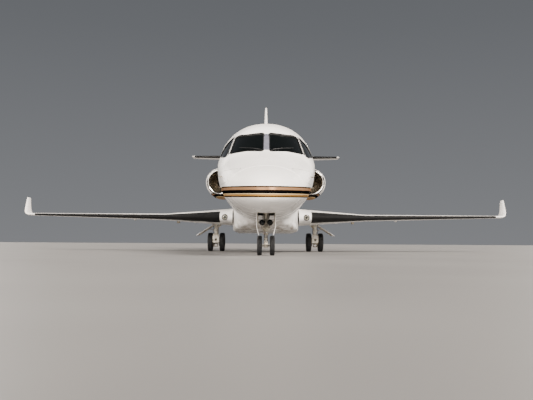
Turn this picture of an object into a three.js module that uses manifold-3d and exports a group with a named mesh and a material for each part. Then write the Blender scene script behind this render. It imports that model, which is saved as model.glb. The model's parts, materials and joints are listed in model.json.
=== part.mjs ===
// Twin-engined business jet parked on its landing gear, in millimetres.
// +Z is up, the nose points to -Y and the jet's own left side is +X. The origin is on the ground
// under the middle of its length. A station is a distance aft of the nose tip.
import * as THREE from "three";
import { mergeVertices } from "three/addons/utils/BufferGeometryUtils.js";
import Module from "manifold-3d";

const wasm = await Module();
wasm.setup();

// Driving dimensions
const LENGTH = 18970;
const WALL = 90; // fuselage skin, frames and lining together
const GAP = 0.4; // between pieces that touch
const RUNNING = 7; // between pieces that move past each other
const FAR = 4000; // reach of a cutting prism

const at = (station) => station - LENGTH / 2;

// Fuselage sections. A section is two half superellipses that meet at its widest line. Beside the
// cockpit the upper one is drawn in a little, to carry the side windows.
// Columns: station, half width, top, bottom, widest line, upper exponent, lower exponent, drawn in
const NOSE_TIP = 1258;
const HULL = [
  [25, 132, 1374, 1150, 1258, 2, 2, 0],
  [110, 288, 1492, 1068, 1268, 2, 2, 0],
  [300, 470, 1628, 1003, 1300, 2, 2, 0],
  [600, 652, 1770, 955, 1370, 2, 2, 0],
  [1000, 818, 1922, 925, 1470, 2, 2, 0],
  [1500, 948, 2110, 905, 1630, 2, 2.1, 0],
  [2100, 1052, 2338, 892, 1830, 2, 2.2, 20],
  [2500, 1102, 2572, 885, 1960, 2.1, 2.25, 50],
  [3000, 1148, 2870, 881, 2070, 2.1, 2.25, 50],
  [3500, 1188, 3152, 880, 2130, 2.05, 2.2, 50],
  [4050, 1218, 3302, 880, 2140, 2.1, 2.2, 20],
  [4800, 1224, 3345, 880, 2130, 2.15, 2.2, 0],
  [5700, 1224, 3348, 880, 2110, 2.15, 2.2, 0],
  [11000, 1224, 3348, 880, 2110, 2.15, 2.2, 0],
  [11900, 1172, 3345, 905, 2118, 2.12, 2.18, 0],
  [12700, 1075, 3340, 1000, 2155, 2.1, 2.15, 0],
  [13700, 935, 3325, 1260, 2275, 2, 2.1, 0],
  [14700, 782, 3290, 1620, 2440, 2, 2, 0],
  [15700, 605, 3240, 1990, 2610, 2, 2, 0],
  [16700, 405, 3170, 2350, 2765, 2, 2, 0],
  [17600, 215, 3090, 2660, 2872, 2, 2, 0],
];
const RADOME_END = 900;
const COCKPIT_FRONT = 2350;
const COCKPIT_END = 3900;
const CABIN_END = 11900;
const HOLD_FRONT = 11990;
const HOLD_END = 15610;
const AFT_END = 15700;
const FLOOR_TOP = 1300;
const FLOOR_DEPTH = 60;

// Cockpit glass, as outlines seen from ahead (x, z) and from the side (station, z)
const WINDSHIELD = [[74, 2368], [450, 2362], [845, 2338], [752, 2838], [430, 2868], [74, 2886]];
const SIDE_WINDOW = [[2500, 2290], [3300, 2350], [3800, 2420], [3780, 2640], [3560, 2850], [3200, 2870]];
const POST = 48; // skin left between windshield and side window
const GLASS_INSET = 22;
const GLASS_THICK = 20;

const WINDOW = { first: 5360, pitch: 790, count: 8, height: 2400, halfWide: 160, halfTall: 215, corner: 105 };

// Doors in the left side, hinged along their bottom edge. front and back are stations
const CABIN_DOOR = { front: 4000, back: 4820, bottom: 1400, top: 3040, corner: 130, stand: 12, domed: true };
const HOLD_DOOR = { front: 12250, back: 12950, bottom: 1400, top: 1880, corner: 70, stand: 30 };
const STEP = { first: 1520, pitch: 290, count: 5, tread: 210, rise: 240, halfWide: 280, openAngle: 130 };

const CABIN_SEAT = { base: 1340, front: 5700, pitch: 1080, count: 5, rightGalley: 4150 };

// Fairing under the fuselage. Columns: station, half width, top, bottom, corner radius
const FAIRING = [
  [5750, 330, 1150, 862, 120],
  [6150, 700, 1300, 760, 140],
  [6750, 950, 1480, 645, 150],
  [7330, 1000, 1500, 612, 150],
  [10780, 1000, 1500, 612, 150],
  [11500, 880, 1450, 700, 150],
  [12350, 520, 1250, 900, 120],
];

// Flying surfaces. Columns: span place, leading edge station, chord, height, thickness, roll in degrees
const WING = [
  [1003, 7330, 3420, 1050, 530, 0],
  [3300, 9020, 1950, 1105, 215, 0],
  [8690, 11878, 850, 1281, 85, 0],
];
const WINGLET = [
  [8690, 11878, 850, 1281, 85, 0],
  [8797, 11948, 820, 1328, 80, 40],
  [8860, 12058, 720, 1443, 72, 74],
  [8942, 12518, 360, 1935, 34, 82],
];
const TAILPLANE = [
  [0, 16050, 1850, 3970, 190, 0],
  [3300, 18030, 940, 4220, 80, 0],
  [3380, 18140, 800, 4226, 40, 0],
];
// The fin is drawn lying down: its span place is its height.
const FIN = [
  [2980, 12300, 5300, 0, 190, 0],
  [3420, 13350, 4260, 0, 210, 0],
  [3950, 14700, 3080, 0, 205, 0],
  [6240, 16800, 1500, 0, 90, 0],
  [6320, 16940, 1340, 0, 50, 0],
];
const CAMBER = 0.012;

// Hinged surfaces: span places of their ends and the hinge's place along the chord at each end
// Hinged surfaces: ends along the span, hinge line as a share of the chord, room beyond each end for the
// way a swept surface slides sideways as it turns
const FLAP = { ends: [1465, 5590], chord: [0.77, 0.73], room: [38, 20] };
const AILERON = { ends: [5760, 8150], chord: [0.73, 0.73], room: [14, 14] };
const ELEVATOR = { ends: [440, 3180], chord: [0.68, 0.68], room: [20, 14] };
const RUDDER = { ends: [4420, 6130], chord: [0.7, 0.7], room: [36, 18] };

// Dark rubber leading edge: its ends and its depth behind the edge there
const BOOT = [[1430, 250], [3300, 165], [8395, 75]];
const LAMP = { x: 1235, z: 1052, radius: 82, back: 7560 };
const TRACKS = [[2350, 130], [4500, 100]]; // flap track fairings: span place, depth

// Engines. Profiles are radius and station
const ENGINE = { x: 1720, z: 2550 };
const COWL_OUTER = [
  [424, 12322], [444, 12300], [472, 12312], [500, 12372], [532, 12580], [562, 13300], [540, 14300], [404, 15560],
];
const COWL_INNER = [[388, 15560], [468, 14300], [455, 13700], [402, 13200], [386, 12600], [402, 12400]];
const CORE = [
  [0, 13246], [110, 13246], [190, 13290], [285, 13500], [305, 14250], [235, 14900], [105, 15420], [0, 15600],
];
const SPINNER = [[0, 12760], [60, 12800], [112, 12890], [140, 12990], [140, 13190], [40, 13190], [40, 13240], [0, 13240]];
const BLADE = { count: 18, root: 120, tip: 383, front: 12985, back: 13150, thick: 9, twist: 0.62 };

// Flat pads for jacks, as opposite corners of boxes
const JACK_PAD = {
  wing: [[2880, at(9860), 930], [2980, at(9960), 1100]],
  nose: [[-50, at(2550), 855], [50, at(2650), 900]],
};

// Landing gear
const NOSE_WHEEL = { station: 2100, radius: 222, width: 112, rim: 118, offset: 143, axle: 26 };
const MAIN_WHEEL = { station: 9560, radius: 305, width: 170, rim: 168, offset: 195, axle: 42, x: 1625 };
const NOSE_BAY = { front: 1250, back: 2270, halfWide: 190, top: 1330 };
const NOSE_DOOR = { front: 1420, back: 2060, section: [[196, 1000], [196, 640], [152, 453], [165, 452], [210, 637], [210, 1000]] };
const TAXI_LAMP = { x: 88, z: 735, radius: 64 };
const MAIN_STRUT = 9350;

const paint = (color, roughness, metalness = 0) =>
  new THREE.MeshStandardMaterial({ color, roughness, metalness });
const FINISH = {
  white: paint("#eeebe6", 0.25),
  boot: paint("#0d0d0e", 0.45),
  glass: paint("#101418", 0.08),
  metal: paint("#c9c7c2", 0.22, 1),
  dark: paint("#35332f", 0.5, 0.8),
  gear: paint("#c8c0b0", 0.4, 0.3),
  tyre: paint("#17171a", 0.85),
  trim: paint("#3a3733", 0.7),
  seat: paint("#8a7458", 0.6),
};

const root = new THREE.Group();

const vector = (x, y, z) => new THREE.Vector3(x, y, z);

// A closed mesh as a solid, with its shared points merged and its faces turned outwards
function solid(geometry) {
  const bare = geometry.index ? geometry.toNonIndexed() : geometry.clone();
  bare.deleteAttribute("normal");
  bare.deleteAttribute("uv");
  const merged = mergeVertices(bare, 1e-3);
  const points = merged.attributes.position.array;
  const corner = (i) => vector().fromArray(points, 3 * i);
  const faces = [];
  let volume = 0;
  for (let i = 0; i < merged.index.count; i += 3) {
    const [a, b, c] = merged.index.array.slice(i, i + 3);
    if (a === b || b === c || c === a) continue;
    faces.push(a, b, c);
    volume += corner(a).dot(corner(b).cross(corner(c)));
  }
  if (volume < 0) faces.reverse();
  return new wasm.Manifold(
    new wasm.Mesh({ numProp: 3, vertProperties: points, triVerts: new Uint32Array(faces) }),
  );
}

// A solid's surface as a geometry with flat faces
function geometryOf(shape) {
  const mesh = shape.getMesh();
  const geometry = new THREE.BufferGeometry();
  geometry.setAttribute("position", new THREE.BufferAttribute(mesh.vertProperties, 3));
  geometry.setIndex(new THREE.BufferAttribute(mesh.triVerts, 1));
  return geometry;
}

const moved = (shape, matrix) => solid(geometryOf(shape).applyMatrix4(matrix));
const mirrored = (shape) => moved(shape, new THREE.Matrix4().makeScale(-1, 1, 1));
const shifted = (shape, x, y, z) => moved(shape, new THREE.Matrix4().makeTranslation(x, y, z));
const joined = (shapes) => shapes.reduce((all, one) => all.add(one));

function box(low, high) {
  const size = high.map((value, axis) => value - low[axis]);
  const middle = high.map((value, axis) => (value + low[axis]) / 2);
  return solid(new THREE.BoxGeometry(...size).translate(...middle));
}

// A round rod, or a cone where the second radius differs, between two points
function rod(from, to, radius, endRadius = radius, sides = 10) {
  const along = vector().subVectors(to, from);
  const geometry = new THREE.CylinderGeometry(endRadius, radius, along.length(), sides);
  const turn = new THREE.Quaternion().setFromUnitVectors(vector(0, 1, 0), along.clone().normalize());
  geometry.applyQuaternion(turn);
  geometry.translate(...vector().addVectors(from, to).multiplyScalar(0.5));
  return solid(geometry);
}

// Radius of a ten-sided bore in which a ten-sided shaft turns freely
const bore = (shaft) => (shaft + 1.5) / Math.cos(Math.PI / 10);

// A profile of (radius, station) turned about a line along Y
function turned(profile, sides, x = 0, z = 0) {
  const points = profile.map(([radius, station]) => new THREE.Vector2(radius, at(station)));
  return solid(new THREE.LatheGeometry(points, sides).translate(x, 0, z));
}

// A closed skin through rings of points. Its ends are fans to the middles of the end rings, or to given points
function loft(rings, first = middleOf(rings[0]), last = middleOf(rings.at(-1))) {
  const count = rings[0].length;
  const end = (rings.length - 1) * count;
  const faces = [];
  for (let i = 0; i < count; i++) {
    const j = (i + 1) % count;
    const right = rings[0][i].x + rings[0][j].x < 0; // its diagonals mirror the left side's
    for (let row = 0; row < end; row += count) {
      const [a, b, c, d] = [row + i, row + j, row + count + j, row + count + i];
      faces.push(...(right ? [a, b, d, b, c, d] : [a, b, c, a, c, d]));
    }
    faces.push(end + count, j, i, end + count + 1, end + i, end + j);
  }
  const geometry = new THREE.BufferGeometry().setFromPoints([...rings.flat(), first, last]);
  return solid(geometry.setIndex(faces));
}

function middleOf(ring) {
  return ring.reduce((sum, point) => sum.add(point), vector(0, 0, 0)).divideScalar(ring.length);
}

// A row of a table at a place between its rows, each column in proportion
function rowAt(table, place) {
  const next = Math.max(1, table.findIndex((row) => row[0] >= place));
  const [low, high] = [table[next - 1], table[next]];
  const share = (place - low[0]) / (high[0] - low[0]);
  return low.map((value, column) => value + share * (high[column] - value));
}

const SIDES = 24; // of the fuselage's sections

// Half width of a fuselage section at a height, inset from its skin
function sectionHalf([, half, top, bottom, widest, upper, lower, drawn], z, inset) {
  const over = z > widest;
  const power = over ? upper : lower;
  const u = Math.min(1, Math.abs(z - widest) / ((over ? top - widest : widest - bottom) - inset));
  const flat = over ? 16 * drawn * u ** 2 * (1 - u) ** 2 : 0;
  return (half - inset) * (1 - u ** power) ** (1 / power) - flat;
}

function hullRing(row, inset) {
  const [station, , top, bottom, widest, upper, lower] = row;
  return Array.from({ length: SIDES }, (_, i) => {
    const angle = (2 * Math.PI * i) / SIDES;
    const [c, s] = [Math.cos(angle), Math.sin(angle)];
    const reach = (s >= 0 ? top - widest : widest - bottom) - inset;
    const z = widest + reach * Math.sign(s) * Math.abs(s) ** (2 / (s >= 0 ? upper : lower));
    return vector(Math.sign(c) * sectionHalf(row, z, inset), at(station), z);
  });
}

// The fuselage's outer form between two stations, inset from its skin
function hull(from, to, inset = 0) {
  const between = HULL.filter(([station]) => station > from + 1 && station < to - 1);
  const rows = [...(from > 0 ? [rowAt(HULL, from)] : []), ...between, rowAt(HULL, to)];
  const rings = rows.map((row) => hullRing(row, inset));
  return from > 0 ? loft(rings) : loft(rings, vector(0, at(0), NOSE_TIP));
}

// Half width of the fuselage at a station and height
const hullHalf = (station, z, inset = 0) => sectionHalf(rowAt(HULL, station), z, inset);

function outline(points) {
  return new THREE.Shape(points.map(([u, v]) => new THREE.Vector2(u, v)));
}

// A rectangle with round corners, each an arc of a few steps
function roundedRectangle(u0, u1, v0, v1, radius) {
  const shape = new THREE.Shape();
  shape.absarc(u1 - radius, v1 - radius, radius, 0, Math.PI / 2);
  shape.absarc(u0 + radius, v1 - radius, radius, Math.PI / 2, Math.PI);
  shape.absarc(u0 + radius, v0 + radius, radius, Math.PI, 1.5 * Math.PI);
  shape.absarc(u1 - radius, v0 + radius, radius, 1.5 * Math.PI, 2 * Math.PI);
  return shape;
}

function extruded(shape, depth, cornerSteps = 2) {
  return new THREE.ExtrudeGeometry(shape, { depth, bevelEnabled: false, curveSegments: cornerSteps });
}

// Prisms of outlines drawn from above (x, y), from ahead (x, z) and from the side (y, z)
function planPrism(points, low, high) {
  return solid(extruded(outline(points), high - low).translate(0, 0, low));
}
function frontPrism(shape, front, back) {
  const stood = new THREE.Matrix4().makeRotationX(Math.PI / 2);
  return solid(extruded(shape, back - front).applyMatrix4(stood).translate(0, back, 0));
}
function sidePrism(shape, low, high, cornerSteps) {
  const stood = new THREE.Matrix4().set(0, 0, 1, low, 1, 0, 0, 0, 0, 1, 0, 0, 0, 0, 0, 1);
  return solid(extruded(shape, high - low, cornerSteps).applyMatrix4(stood));
}

// The same outline moved in towards its middle by a margin
function shrunk(points, margin) {
  const middle = [0, 1].map((axis) => points.reduce((sum, p) => sum + p[axis], 0) / points.length);
  return points.map((p) => {
    const reach = Math.hypot(p[0] - middle[0], p[1] - middle[1]);
    return p.map((value, axis) => middle[axis] + (value - middle[axis]) * (1 - margin / reach));
  });
}

// Adds a mesh to a group, with its points measured from the group's own place
function add(group, name, shape, material) {
  group.updateWorldMatrix(true, false);
  const local = geometryOf(shape).applyMatrix4(group.matrixWorld.clone().invert());
  const mesh = new THREE.Mesh(local, material);
  mesh.name = name;
  group.add(mesh);
}

// A group at a pivot, for pieces that move together
function pivot(place, parent = root) {
  const group = new THREE.Group();
  group.position.copy(parent.worldToLocal(place.clone()));
  parent.add(group);
  group.updateWorldMatrix(true, false);
  return group;
}

// Half thickness of an aerofoil of full thickness 1, at a share of its chord
function foilHalf(u) {
  const tail = 0.126 * u + 0.3516 * u ** 2 - 0.2843 * u ** 3 + 0.1036 * u ** 4;
  return 5 * (0.2969 * Math.sqrt(u) - tail);
}
const camberAt = (u) => 4 * CAMBER * u * (1 - u);
const FOIL_SHARES = [0, 0.012, 0.05, 0.13, 0.28, 0.45, 0.6, 0.75, 0.88, 1];

function foilRing([place, edge, chord, height, thickness, roll], camber) {
  const lean = THREE.MathUtils.degToRad(roll);
  const point = (u, side) => {
    const rise = camber * camberAt(u) * chord + side * foilHalf(u) * thickness;
    return vector(place - rise * Math.sin(lean), at(edge + u * chord), height + rise * Math.cos(lean));
  };
  const over = FOIL_SHARES.map((u) => point(u, 1));
  const under = FOIL_SHARES.slice(1, -1).map((u) => point(u, -1));
  return [...over, ...under.reverse()];
}

function flyingSurface(table, camber = 1) {
  return loft(table.map((row) => foilRing(row, camber)));
}

// A hinge line's end on a flying surface, with the radius of the round nose there
function hingeEnd(table, place, share, camber) {
  const [, edge, chord, height, thickness] = rowAt(table, place);
  return {
    point: vector(place, at(edge + share * chord), height + camber * camberAt(share) * chord),
    radius: foilHalf(share) * thickness,
  };
}

// Cuts a hinged surface out of a flying surface: what moves turns about a line inside its round nose,
// and what stays keeps a round cove for it.
function hingedOut(whole, table, { ends, chord, room }, camber = 1) {
  const [from, to] = [0, 1].map((end) => hingeEnd(table, ends[end], chord[end], camber));
  const along = vector().subVectors(to.point, from.point);
  const region = (margin, [before, after]) => {
    const [low, high] = [ends[0] - before, ends[1] + after];
    const stretch = 0.2;
    const start = from.point.clone().addScaledVector(along, -stretch);
    const stop = to.point.clone().addScaledVector(along, stretch);
    const grow = (to.radius - from.radius) * stretch;
    const nose = rod(start, stop, from.radius - grow + margin, to.radius + grow + margin, 20);
    const plan = [start, stop, stop.clone().setY(stop.y + FAR), start.clone().setY(start.y + FAR)];
    const behind = planPrism(plan.map((p) => [p.x, p.y]), -FAR, 2 * FAR);
    return behind.add(nose).intersect(box([low, -2 * LENGTH, -FAR], [high, 2 * LENGTH, 2 * FAR]));
  };
  return {
    fixed: whole.subtract(region(RUNNING + 3, room)),
    moving: whole.intersect(region(0, [0, 0])),
    place: from.point.clone().lerp(to.point, 0.5),
  };
}

// Fuselage

const hullAround = hull(600, 17600, -GAP);

function doorShape({ front, back, bottom, top, corner }, margin) {
  const [u0, u1] = [at(front) + margin, at(back) - margin];
  return roundedRectangle(u0, u1, bottom + margin, top - margin, corner + 2 * margin);
}

// The two ends of a door's hinge line, which stands a little off the skin along its bottom edge
function hingeOfDoor({ front, back, bottom, stand }) {
  return [front, back].map((station) => vector(hullHalf(station, bottom) + stand, at(station), bottom));
}

// What a door cuts out of the skin. Its end faces are square to its hinge line, so that the door turns between
// them, and its top face lies on a cylinder about the hinge line.
function doorway(door, margin) {
  const [front, back] = hingeOfDoor(door);
  const along = vector().subVectors(back, front).normalize();
  const [start, stop] = [-300, 300].map((reach, i) => [front, back][i].clone().addScaledVector(along, reach));
  const corner = vector(hullHalf(door.front, door.top), at(door.front), door.top);
  const radius = Math.hypot(corner.x - front.x, door.top - door.bottom) - 1.6 * margin;
  const skew = -Math.atan2(along.x, along.y);
  const shape = doorShape({ ...door, top: door.domed ? door.top + 10 : door.top }, margin);
  const prism = sidePrism(shape, 0, FAR);
  const square = new THREE.Matrix4().makeTranslation(front.x, front.y, 0)
    .multiply(new THREE.Matrix4().makeRotationZ(skew))
    .multiply(new THREE.Matrix4().makeTranslation(-front.x, -front.y, 0));
  const cut = moved(prism, square);
  return door.domed ? cut.intersect(rod(start, stop, radius, radius, 96)) : cut;
}

// Wedge steps on the cabin door's inner face, with treads that are level when it hangs open
function doorSteps() {
  const open = THREE.MathUtils.degToRad(STEP.openAngle);
  const station = (CABIN_DOOR.front + CABIN_DOOR.back) / 2;
  return Array.from({ length: STEP.count }, (_, i) => {
    const z = STEP.first + i * STEP.pitch;
    const x = hullHalf(station, z, WALL);
    const above = hullHalf(station, z + STEP.rise, WALL);
    const tip = [x + STEP.tread * Math.cos(open), z + STEP.tread * Math.sin(open)];
    const wedge = outline([[x + 30, z], [above + 30, z + STEP.rise], tip]);
    return frontPrism(wedge, at(station) - STEP.halfWide, at(station) + STEP.halfWide);
  });
}

// The windows in one side. The right side has one more, across from the cabin door
function cabinWindows(side) {
  const extra = side < 0 ? 1 : 0;
  const { halfWide, halfTall, height, corner } = WINDOW;
  return Array.from({ length: WINDOW.count + extra }, (_, i) => {
    const middle = at(WINDOW.first + (i - extra) * WINDOW.pitch);
    const shape = roundedRectangle(
      middle - halfWide, middle + halfWide, height - halfTall, height + halfTall, corner,
    );
    return side > 0 ? sidePrism(shape, 0, FAR, 1) : sidePrism(shape, -FAR, 0, 1);
  });
}

const windshieldPrism = (margin) =>
  frontPrism(outline(shrunk(WINDSHIELD, margin)), at(1500), at(4000));

// A side window ends at the post, which follows the windshield's outer edge
function sideWindowPrism(margin) {
  const shape = outline(shrunk(SIDE_WINDOW, margin).map(([s, z]) => [at(s), z]));
  return sidePrism(shape, 500, FAR).subtract(windshieldPrism(-POST - margin));
}

function addFuselage() {
  const cabin = hull(COCKPIT_FRONT, CABIN_END, WALL);
  const glass = [windshieldPrism(0), sideWindowPrism(0)];
  const bay = box(
    [-NOSE_BAY.halfWide, at(NOSE_BAY.front), 0], [NOSE_BAY.halfWide, at(NOSE_BAY.back), NOSE_BAY.top],
  );
  const cockpit = joined([cabin, bay, ...glass, ...glass.map(mirrored)]);
  add(root, "radome", hull(0, RADOME_END), FINISH.white);
  const nose = hull(RADOME_END + GAP, COCKPIT_END).subtract(cockpit).add(box(...JACK_PAD.nose));
  add(root, "cockpit_shell", nose, FINISH.white);

  const cabinSkin = hull(COCKPIT_END + GAP, CABIN_END).subtract(hull(COCKPIT_FRONT, CABIN_END + 10, WALL));
  const openings = joined([doorway(CABIN_DOOR, 0), ...cabinWindows(1), ...cabinWindows(-1)]);
  add(root, "cabin_shell", cabinSkin.subtract(openings), FINISH.white);
  const cabinDoor = joined([cabinSkin.intersect(doorway(CABIN_DOOR, RUNNING)), ...doorSteps()]);
  add(pivot(hingeOfDoor(CABIN_DOOR)[0]), "cabin_door", cabinDoor, FINISH.white);

  const aftSkin = hull(CABIN_END + GAP, AFT_END).subtract(hull(HOLD_FRONT, HOLD_END, WALL));
  add(root, "aft_fuselage", aftSkin.subtract(doorway(HOLD_DOOR, 0)), FINISH.white);
  add(pivot(hingeOfDoor(HOLD_DOOR)[0]), "baggage_door", aftSkin.intersect(doorway(HOLD_DOOR, RUNNING)), FINISH.white);
  add(root, "tail_cone", hull(AFT_END + GAP, 17600), FINISH.white);

  addCockpitGlass();
  const inside = hull(COCKPIT_FRONT + GAP, CABIN_END - GAP, WALL + GAP);
  const slab = box([-FAR, at(0), FLOOR_TOP - FLOOR_DEPTH], [FAR, at(LENGTH), FLOOR_TOP]);
  add(root, "cabin_floor", inside.intersect(slab), FINISH.trim);
  addCockpit(inside);
  addCabinSeats(inside);
}

function addCockpitGlass() {
  const pane = hull(1500, 4500, GLASS_INSET).subtract(hull(1490, 4510, GLASS_INSET + GLASS_THICK));
  const panes = { windshield: windshieldPrism(1), side_window: sideWindowPrism(1) };
  for (const [name, prism] of Object.entries(panes)) {
    const left = pane.intersect(prism);
    add(root, name + "_left", left, FINISH.glass);
    add(root, name + "_right", mirrored(left), FINISH.glass);
  }
}

function addCockpit(inside) {
  const panel = joined([
    box([-850, at(2700), 1760], [850, at(2800), 2260]),
    box([-850, at(2540), 2230], [850, at(2840), 2270]),
    box([-200, at(2740), FLOOR_TOP + GAP], [200, at(3150), 1820]),
  ]);
  add(root, "instrument_panel", panel.intersect(inside), FINISH.trim);
  const seat = joined([
    box([370, at(3260), FLOOR_TOP + GAP], [590, at(3580), 1640]),
    box([260, at(3160), 1600], [700, at(3640), 1740]),
    box([270, at(3560), 1700], [690, at(3670), 2330]),
    box([350, at(3570), 2300], [610, at(3660), 2480]),
  ]);
  add(root, "crew_seat_left", seat, FINISH.seat);
  add(root, "crew_seat_right", mirrored(seat), FINISH.seat);
}

// A row of seats on one base along each side, with a galley cupboard ahead of the right row
function addCabinSeats(inside) {
  const { base, front, pitch, count, rightGalley } = CABIN_SEAT;
  const row = Array.from({ length: count }, (_, i) => {
    const station = front + i * pitch;
    const back = i % 2 === 0 ? station : station + 430; // seats face each other in pairs
    return joined([
      box([420, at(station + 60), base], [800, at(station + 450), 1560]),
      box([360, at(station), 1560], [880, at(station + 520), 1740]),
      box([370, at(back), 1700], [870, at(back + 110), 2380]),
    ]);
  });
  const rail = box([430, at(front), FLOOR_TOP + GAP], [790, at(front + (count - 1) * pitch + 500), base + 10]);
  const left = joined([rail, ...row]);
  const galley = box([330, at(rightGalley), FLOOR_TOP + GAP], [1100, at(rightGalley + 620), 2900]);
  const join = box([430, at(rightGalley + 600), FLOOR_TOP + GAP], [790, at(front + 10), base + 10]);
  add(root, "cabin_seats_left", left.intersect(inside), FINISH.seat);
  const right = joined([left, galley, join]).intersect(inside);
  add(root, "cabin_seats_right", mirrored(right), FINISH.seat);
}

function addFairing() {
  const rings = FAIRING.map(([station, half, top, bottom, radius]) => {
    const shape = roundedRectangle(-half, half, bottom, top, radius);
    return shape.getPoints(3).slice(0, -1).map((p) => vector(p.x, at(station), p.y));
  });
  add(root, "belly_fairing", loft(rings).subtract(hullAround), FINISH.white);
}

// Wings

function leadingEdgeRegion(margin) {
  const edge = (place) => rowAt(WING, place)[1];
  const [low, high] = [BOOT[0][0] - margin, BOOT.at(-1)[0] + margin];
  const back = BOOT.map(([place, depth], i) => {
    const x = i === 0 ? low : i === BOOT.length - 1 ? high : place;
    return [x, at(edge(place) + depth + margin)];
  });
  const front = [[high, at(edge(high) - 500)], [low, at(edge(low) - 900)]];
  return planPrism([...back, ...front], 0, FAR);
}

// A long drop-shaped fairing under the wing, over a flap track
function flapTrack([place, depth]) {
  const [, edge, chord, height] = rowAt(WING, place);
  const share = (place - FLAP.ends[0]) / (FLAP.ends[1] - FLAP.ends[0]);
  const hinge = edge + chord * (FLAP.chord[0] + share * (FLAP.chord[1] - FLAP.chord[0]));
  const length = 520;
  const profile = [[0, 0], [38, 0.08], [48, 0.3], [40, 0.7], [16, 1], [0, 1]];
  const shape = turned(profile.map(([radius, share]) => [radius, hinge - 130 - length * (1 - share)]), 10);
  const tall = new THREE.Matrix4().makeScale(1, 1, depth / 48);
  return shifted(moved(shape, tall), place, 0, height - 0.2 * depth);
}

function addWing(side) {
  const left = side === "left";
  const own = (shape) => (left ? shape : mirrored(shape));
  const place = (point) => (left ? point : point.clone().setX(-point.x));
  const lamp = (front, radius, frontRadius) =>
    rod(vector(LAMP.x, at(LAMP.back + 1), LAMP.z), vector(LAMP.x, at(front), LAMP.z), radius, frontRadius, 12);
  const recess = lamp(7000, LAMP.radius, LAMP.radius);
  const bulb = lamp(LAMP.back - 25, 0.7 * LAMP.radius, 0.45 * LAMP.radius);
  const whole = flyingSurface(WING);
  const flap = hingedOut(whole, WING, FLAP);
  const aileron = hingedOut(flap.fixed, WING, AILERON);
  const cut = joined([leadingEdgeRegion(GAP), recess, hullAround]);
  const tracks = TRACKS.map(flapTrack);
  const main = joined([aileron.fixed.subtract(cut), bulb, ...tracks, box(...JACK_PAD.wing)]);
  add(root, "wing_" + side, own(main), FINISH.white);
  add(root, "leading_edge_" + side, own(whole.intersect(leadingEdgeRegion(0))), FINISH.boot);
  const tip = WINGLET.map((row, i) => (i === 0 ? [row[0] + GAP, ...row.slice(1)] : row));
  add(root, "winglet_" + side, own(flyingSurface(tip)), FINISH.white);
  add(pivot(place(flap.place)), "flap_" + side, own(flap.moving), FINISH.white);
  add(pivot(place(aileron.place)), "aileron_" + side, own(aileron.moving), FINISH.white);
  return main;
}

// Tail

function addTail() {
  const half = flyingSurface(TAILPLANE, 0);
  const elevator = hingedOut(half, TAILPLANE, ELEVATOR, 0);
  add(root, "tailplane", elevator.fixed.add(mirrored(elevator.fixed)), FINISH.white);
  add(pivot(elevator.place), "elevator_left", elevator.moving, FINISH.white);
  const opposite = elevator.place.clone().setX(-elevator.place.x);
  add(pivot(opposite), "elevator_right", mirrored(elevator.moving), FINISH.white);

  const stand = new THREE.Matrix4().makeRotationY(-Math.PI / 2);
  const rudder = hingedOut(flyingSurface(FIN, 0), FIN, RUDDER, 0);
  const wider = TAILPLANE.map(([x, edge, chord, z, thick, roll]) =>
    [x, edge - 2, chord + 4, z, thick + 4, roll]);
  const slot = flyingSurface(wider, 0);
  const fin = moved(rudder.fixed, stand).subtract(joined([slot, mirrored(slot), hullAround]));
  add(root, "fin", fin, FINISH.white);
  add(pivot(rudder.place.clone().applyMatrix4(stand)), "rudder", moved(rudder.moving, stand), FINISH.white);
}

// Engines

const DUCT_SIDES = 20;

function addEngine(side) {
  const own = (shape) => (side === "left" ? shape : mirrored(shape));
  const { x, z } = ENGINE;
  const outer = turned([[0, COWL_OUTER[0][1]], ...COWL_OUTER, [0, COWL_OUTER.at(-1)[1]]], DUCT_SIDES, x, z);
  const cowl = turned([...COWL_OUTER, ...COWL_INNER, COWL_OUTER[0]], DUCT_SIDES, x, z);
  add(root, "nacelle_" + side, own(cowl), FINISH.white);

  const ductProfile = COWL_INNER.map(([radius, station]) => [radius - GAP, station]);
  const duct = turned([[0, 15560], ...ductProfile, [0, 12400]], DUCT_SIDES, x, z);
  const strut = [0, 1, 2, 3].map((i) => {
    const turn = Math.PI / 4 + (i * Math.PI) / 2;
    const reach = vector(Math.cos(turn), 0, Math.sin(turn)).multiplyScalar(520);
    const bar = new THREE.BoxGeometry(520, 190, 36).rotateY(-turn);
    return solid(bar.translate(x + reach.x / 2, at(14000), z + reach.z / 2));
  });
  const core = joined([turned(CORE, 16, x, z), ...strut.map((bar) => bar.intersect(duct))]);
  add(root, "engine_core_" + side, own(core), FINISH.dark);

  const hub = turned(SPINNER, 12, x, z);
  const blades = Array.from({ length: BLADE.count }, (_, i) => {
    const length = BLADE.tip - BLADE.root;
    const blade = new THREE.BoxGeometry(BLADE.thick, BLADE.back - BLADE.front, length);
    blade.rotateZ(BLADE.twist).translate(0, 0, BLADE.root + length / 2);
    blade.rotateY((i * 2 * Math.PI) / BLADE.count);
    return solid(blade.translate(x, at((BLADE.front + BLADE.back) / 2), z));
  });
  const middle = vector(side === "left" ? x : -x, at(13070), z);
  add(pivot(middle), "fan_" + side, own(joined([hub, ...blades])), FINISH.dark);

  const row = [0, 12950, 2350, z, 190, 0];
  const pylon = flyingSurface([[700, ...row.slice(1)], [1500, ...row.slice(1)]], 0);
  const aroundCowl = turned(
    [[0, 12300], ...COWL_OUTER.map(([radius, station]) => [radius + GAP, station]), [0, 15560]],
    DUCT_SIDES, x, z,
  );
  add(root, "pylon_" + side, own(pylon.subtract(hullAround).subtract(aroundCowl)), FINISH.white);
  return outer;
}

// Landing gear

const WHEEL_SIDES = 20;

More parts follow.
